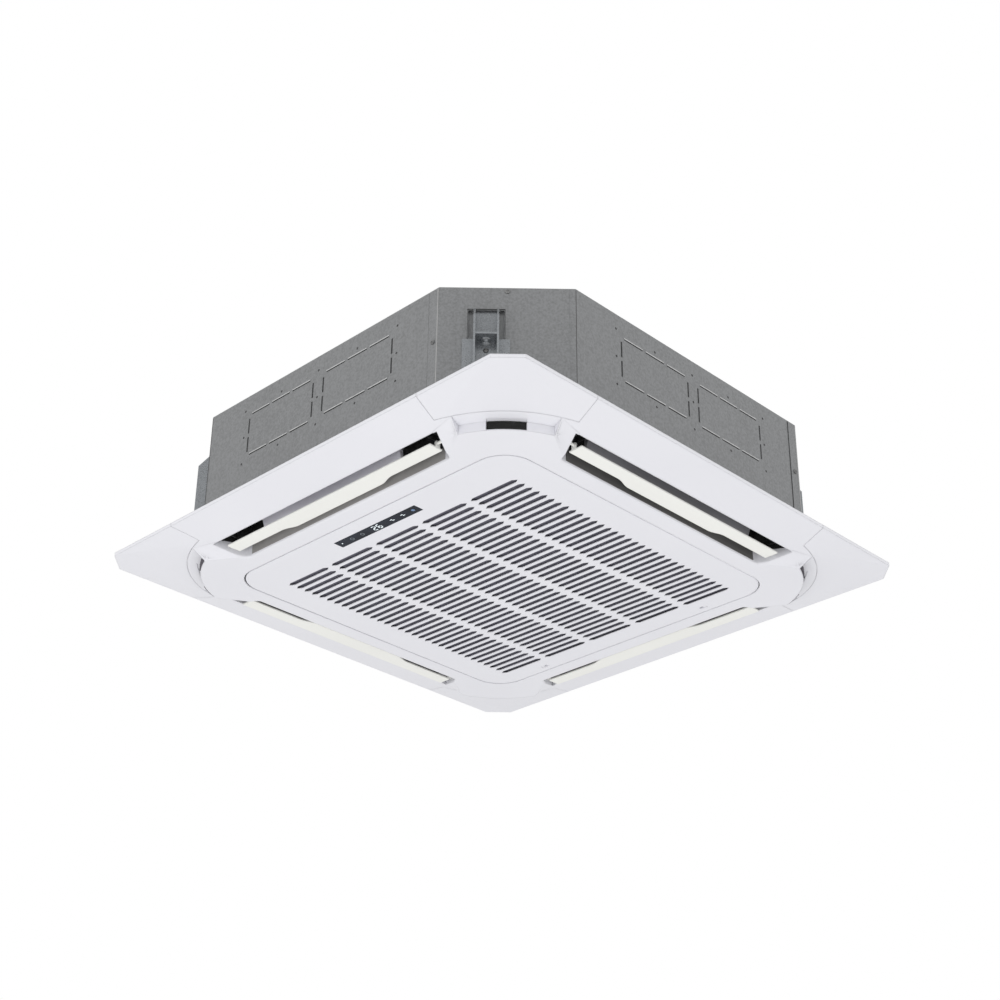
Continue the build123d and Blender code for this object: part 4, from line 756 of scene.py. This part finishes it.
def add_grille_edge():
    """Thin bead round the grille that closes most of the gap to the frame; slimmer at the hinge."""
    inner = round_square(edge_inner, edge_corner - edge_outer + edge_inner)
    slim = round_square(edge_slim, edge_corner - edge_outer + edge_slim)
    full = round_square(edge_outer, edge_corner)
    outer = [s if s[1] < edge_hinge_side else f for s, f in zip(slim, full)]
    mesh = bmesh.new()
    rows = []
    for points, level in ((inner, edge_low), (outer, edge_low), (outer, edge_high), (inner, edge_high)):
        rows.append([mesh.verts.new((x, y, ceiling_line + level)) for x, y in points])
    for row, other in zip(rows, rows[1:] + rows[:1]):
        bridge(mesh, row, other)
    bmesh.ops.recalc_face_normals(mesh, faces=mesh.faces)
    piece("grille_edge_bead", mesh, finishes["grille_white"], "grille")


# ---- painted highlights and shade on the cabinet's sheets ----
side_face = 420.0 * mm
knockout_pitch, knockout_width, knockout_height = 185.0 * mm, 160.0 * mm, 77.0 * mm
knockout_middle = 142.0 * mm
knockout_bridge = 7.0 * mm
slit_half = 1.0 * mm
burr_high, burr_proud, burr_round = 1.8 * mm, 0.5 * mm, 0.12 * mm
# dark strips of painted shade at the slits and at the corner joints: their width and how proud they stand
shade_strip_wide, shade_strip_proud = 1.2 * mm, 0.15 * mm
side_half, wrap_face = 275.0 * mm, 421.0 * mm
fold_low, fold_high = 8.0 * mm, 217.0 * mm
fold_from, fold_to, fold_proud, fold_round = 272.6 * mm, 274.8 * mm, 0.3 * mm, 0.1 * mm
joint_from, joint_to, joint_wide = 253.6 * mm, 254.95 * mm, 1.3 * mm
dimple_pitch, dimple_rows = 92.0 * mm, 50.0 * mm
dimple_reach = 2                # columns on each side of the middle one
dimple_radius, dimple_depth = 2.05 * mm, 0.5 * mm
cup_sides = 16
cup_rings = ((1.0, 0.25), (0.7, 0.75), (0.1, 0.9))  # shares of the radius and of the depth


def add_knockout_light_and_shade():
    """Raised strips above the level slits, coloured lighter as painted highlight, and dark strips at the
    upright ones as painted shade.
    """
    # lighter metal on the raised strips as painted highlight, near-black strips as painted shade
    highlight_paint = galvanised("burr_highlight", grey(0.26), grey(0.56), 0.5, 60.0)
    shade_paint = painted("slit_shade", grey(0.012), grey(0.04), 0.6)
    burr_highlights, edges = bmesh.new(), bmesh.new()
    long = (knockout_width - 4 * knockout_bridge) / 3
    short = (knockout_height - 3 * knockout_bridge) / 2
    middle = ceiling_line + knockout_middle
    for turn in side_turn.values():
        a = radians(turn)
        for at in (-knockout_pitch / 2, knockout_pitch / 2):
            for edge in (-1, 1):
                level = middle + edge * knockout_height / 2 + slit_half
                for step in (-1, 0, 1):
                    x = at + step * (long + knockout_bridge)
                    low = (x - long / 2, -side_face - burr_proud, level)
                    high = (x + long / 2, -side_face, level + burr_high)
                    add_box(burr_highlights, low, high, a, burr_round)
                for step in (-0.5, 0.5):
                    z = middle + step * (short + knockout_bridge)
                    x = at + edge * knockout_width / 2 + slit_half
                    low = (x, -side_face - shade_strip_proud, z - short / 2)
                    add_box(edges, low, (x + shade_strip_wide, -side_face, z + short / 2), a)
    piece("knockout_burr_highlights", burr_highlights, highlight_paint, "unit")
    piece("knockout_slit_shade", edges, shade_paint, "unit")


def add_corner_folds():
    """Painted highlight on the fold of each corner panel's flange, and dark lines of painted shade along the
    joints beside it.
    """
    # lighter metal on the fold as painted highlight, dark strips at the joints as painted shade
    highlight_paint = galvanised("fold_highlight", grey(0.2), grey(0.38), 0.45, 90.0)
    shade_paint = painted("joint_shade", grey(0.02), grey(0.05), 0.6)
    fold_highlights, joints = bmesh.new(), bmesh.new()
    low, high = ceiling_line + fold_low, ceiling_line + fold_high
    for turn in side_turn.values():
        a = radians(turn)
        proud = -wrap_face - fold_proud
        add_box(fold_highlights, (fold_from, proud, low), (fold_to, -wrap_face, high), a, fold_round)
        proud = -side_face - shade_strip_proud
        for start, stop in ((joint_from, joint_to), (-side_half, joint_wide - side_half)):
            add_box(joints, (start, proud, low), (stop, -side_face, high), a)
    piece("corner_fold_highlights", fold_highlights, highlight_paint, "unit")
    piece("corner_joint_shade", joints, shade_paint, "unit")


def add_cup(mesh, spin, x, z):
    """The floor of one dimple, as rings that go down to its middle."""
    rings = []
    for share, depth in cup_rings:
        radius, y = share * dimple_radius, -side_face + depth * dimple_depth
        turns = [tau * step / cup_sides for step in range(cup_sides)]
        places = [Vector((x + radius * cos(b), y, z + radius * sin(b))) for b in turns]
        rings.append([mesh.verts.new(spin @ place) for place in places])
    for outer, inner in zip(rings, rings[1:]):
        bridge(mesh, outer, inner)
    mesh.faces.new(rings[-1])


def add_dimple_cups():
    """Dark floor of each pressed dimple in the side panels: painted shade in the hollow."""
    dimple_shade_paint = painted("dimple_shade", grey(0.02), grey(0.06), 0.6)
    mesh = bmesh.new()
    for turn in side_turn.values():
        spin = Matrix.Rotation(radians(turn), 3, "Z")
        for column in range(-dimple_reach, dimple_reach + 1):
            for row in (-1, 0, 1):
                if row or column % 2 == 0:
                    level = ceiling_line + knockout_middle + row * dimple_rows
                    add_cup(mesh, spin, column * dimple_pitch, level)
    piece("dimple_cups", mesh, dimple_shade_paint, "unit", smooth=True)


# ---- studio ----
room_drop = 3.0
room_reach = 400.0
room_squares = 8
world_strength = 1.0
softboxes = {  # place, size and watts; each one faces the unit
    "box_below": ((0.6, -0.8, -2.7), 2.6, 12),
    "box_left": ((0.1, -3.2, -2.0), 1.0, 18),
    "box_right": ((3.2, 0.2, -2.4), 1.0, 10),
}


def add_floor():
    """Plain pale floor of the room below."""
    mesh = bmesh.new()
    bmesh.ops.create_grid(mesh, x_segments=room_squares, y_segments=room_squares, size=room_reach)
    bmesh.ops.translate(mesh, verts=mesh.verts, vec=(0, 0, -room_drop))
    data = bpy.data.meshes.new("floor")
    mesh.to_mesh(data)
    mesh.free()
    p = Paint("floor", 0.8)
    speck = p.noise(60.0)
    p.colour(speck, grey(0.78), grey(0.82), 0.3, 0.7)
    p.roughness(speck, 0.75, 0.9)
    p.bump(speck, 0.2 * mm, 0.3)
    data.materials.append(p.material)
    floor = bpy.data.objects.new("floor", data)
    bpy.context.scene.collection.objects.link(floor)


def add_softbox(name, place, size, watts):
    """A soft square light that faces the unit and that the camera doesn't see."""
    light = bpy.data.lights.new(name, "AREA")
    light.size = size
    light.energy = watts
    made = bpy.data.objects.new(name, light)
    made.location = place
    made.rotation_euler = Vector(place).to_track_quat("Z", "Y").to_euler()
    made.visible_camera = False
    bpy.context.scene.collection.objects.link(made)


def add_world(strength):
    """Even white light from all round."""
    world = bpy.data.worlds.new("studio")
    world.use_nodes = True
    world.node_tree.nodes["Background"].inputs["Color"].default_value = (1, 1, 1, 1)
    world.node_tree.nodes["Background"].inputs["Strength"].default_value = strength
    bpy.context.scene.world = world
    bpy.context.scene.view_settings.view_transform = "Standard"


add_camera()
add_floor()
add_world(world_strength)
for name, (place, size, watts) in softboxes.items():
    add_softbox(name, place, size, watts)
add_screw_heads()
add_display_marks()
add_outlet_linings()
add_pocket_backs()
add_window_foams()
add_scoop_shade_strips()
add_grille_edge()
add_knockout_light_and_shade()
add_corner_folds()
add_dimple_cups()
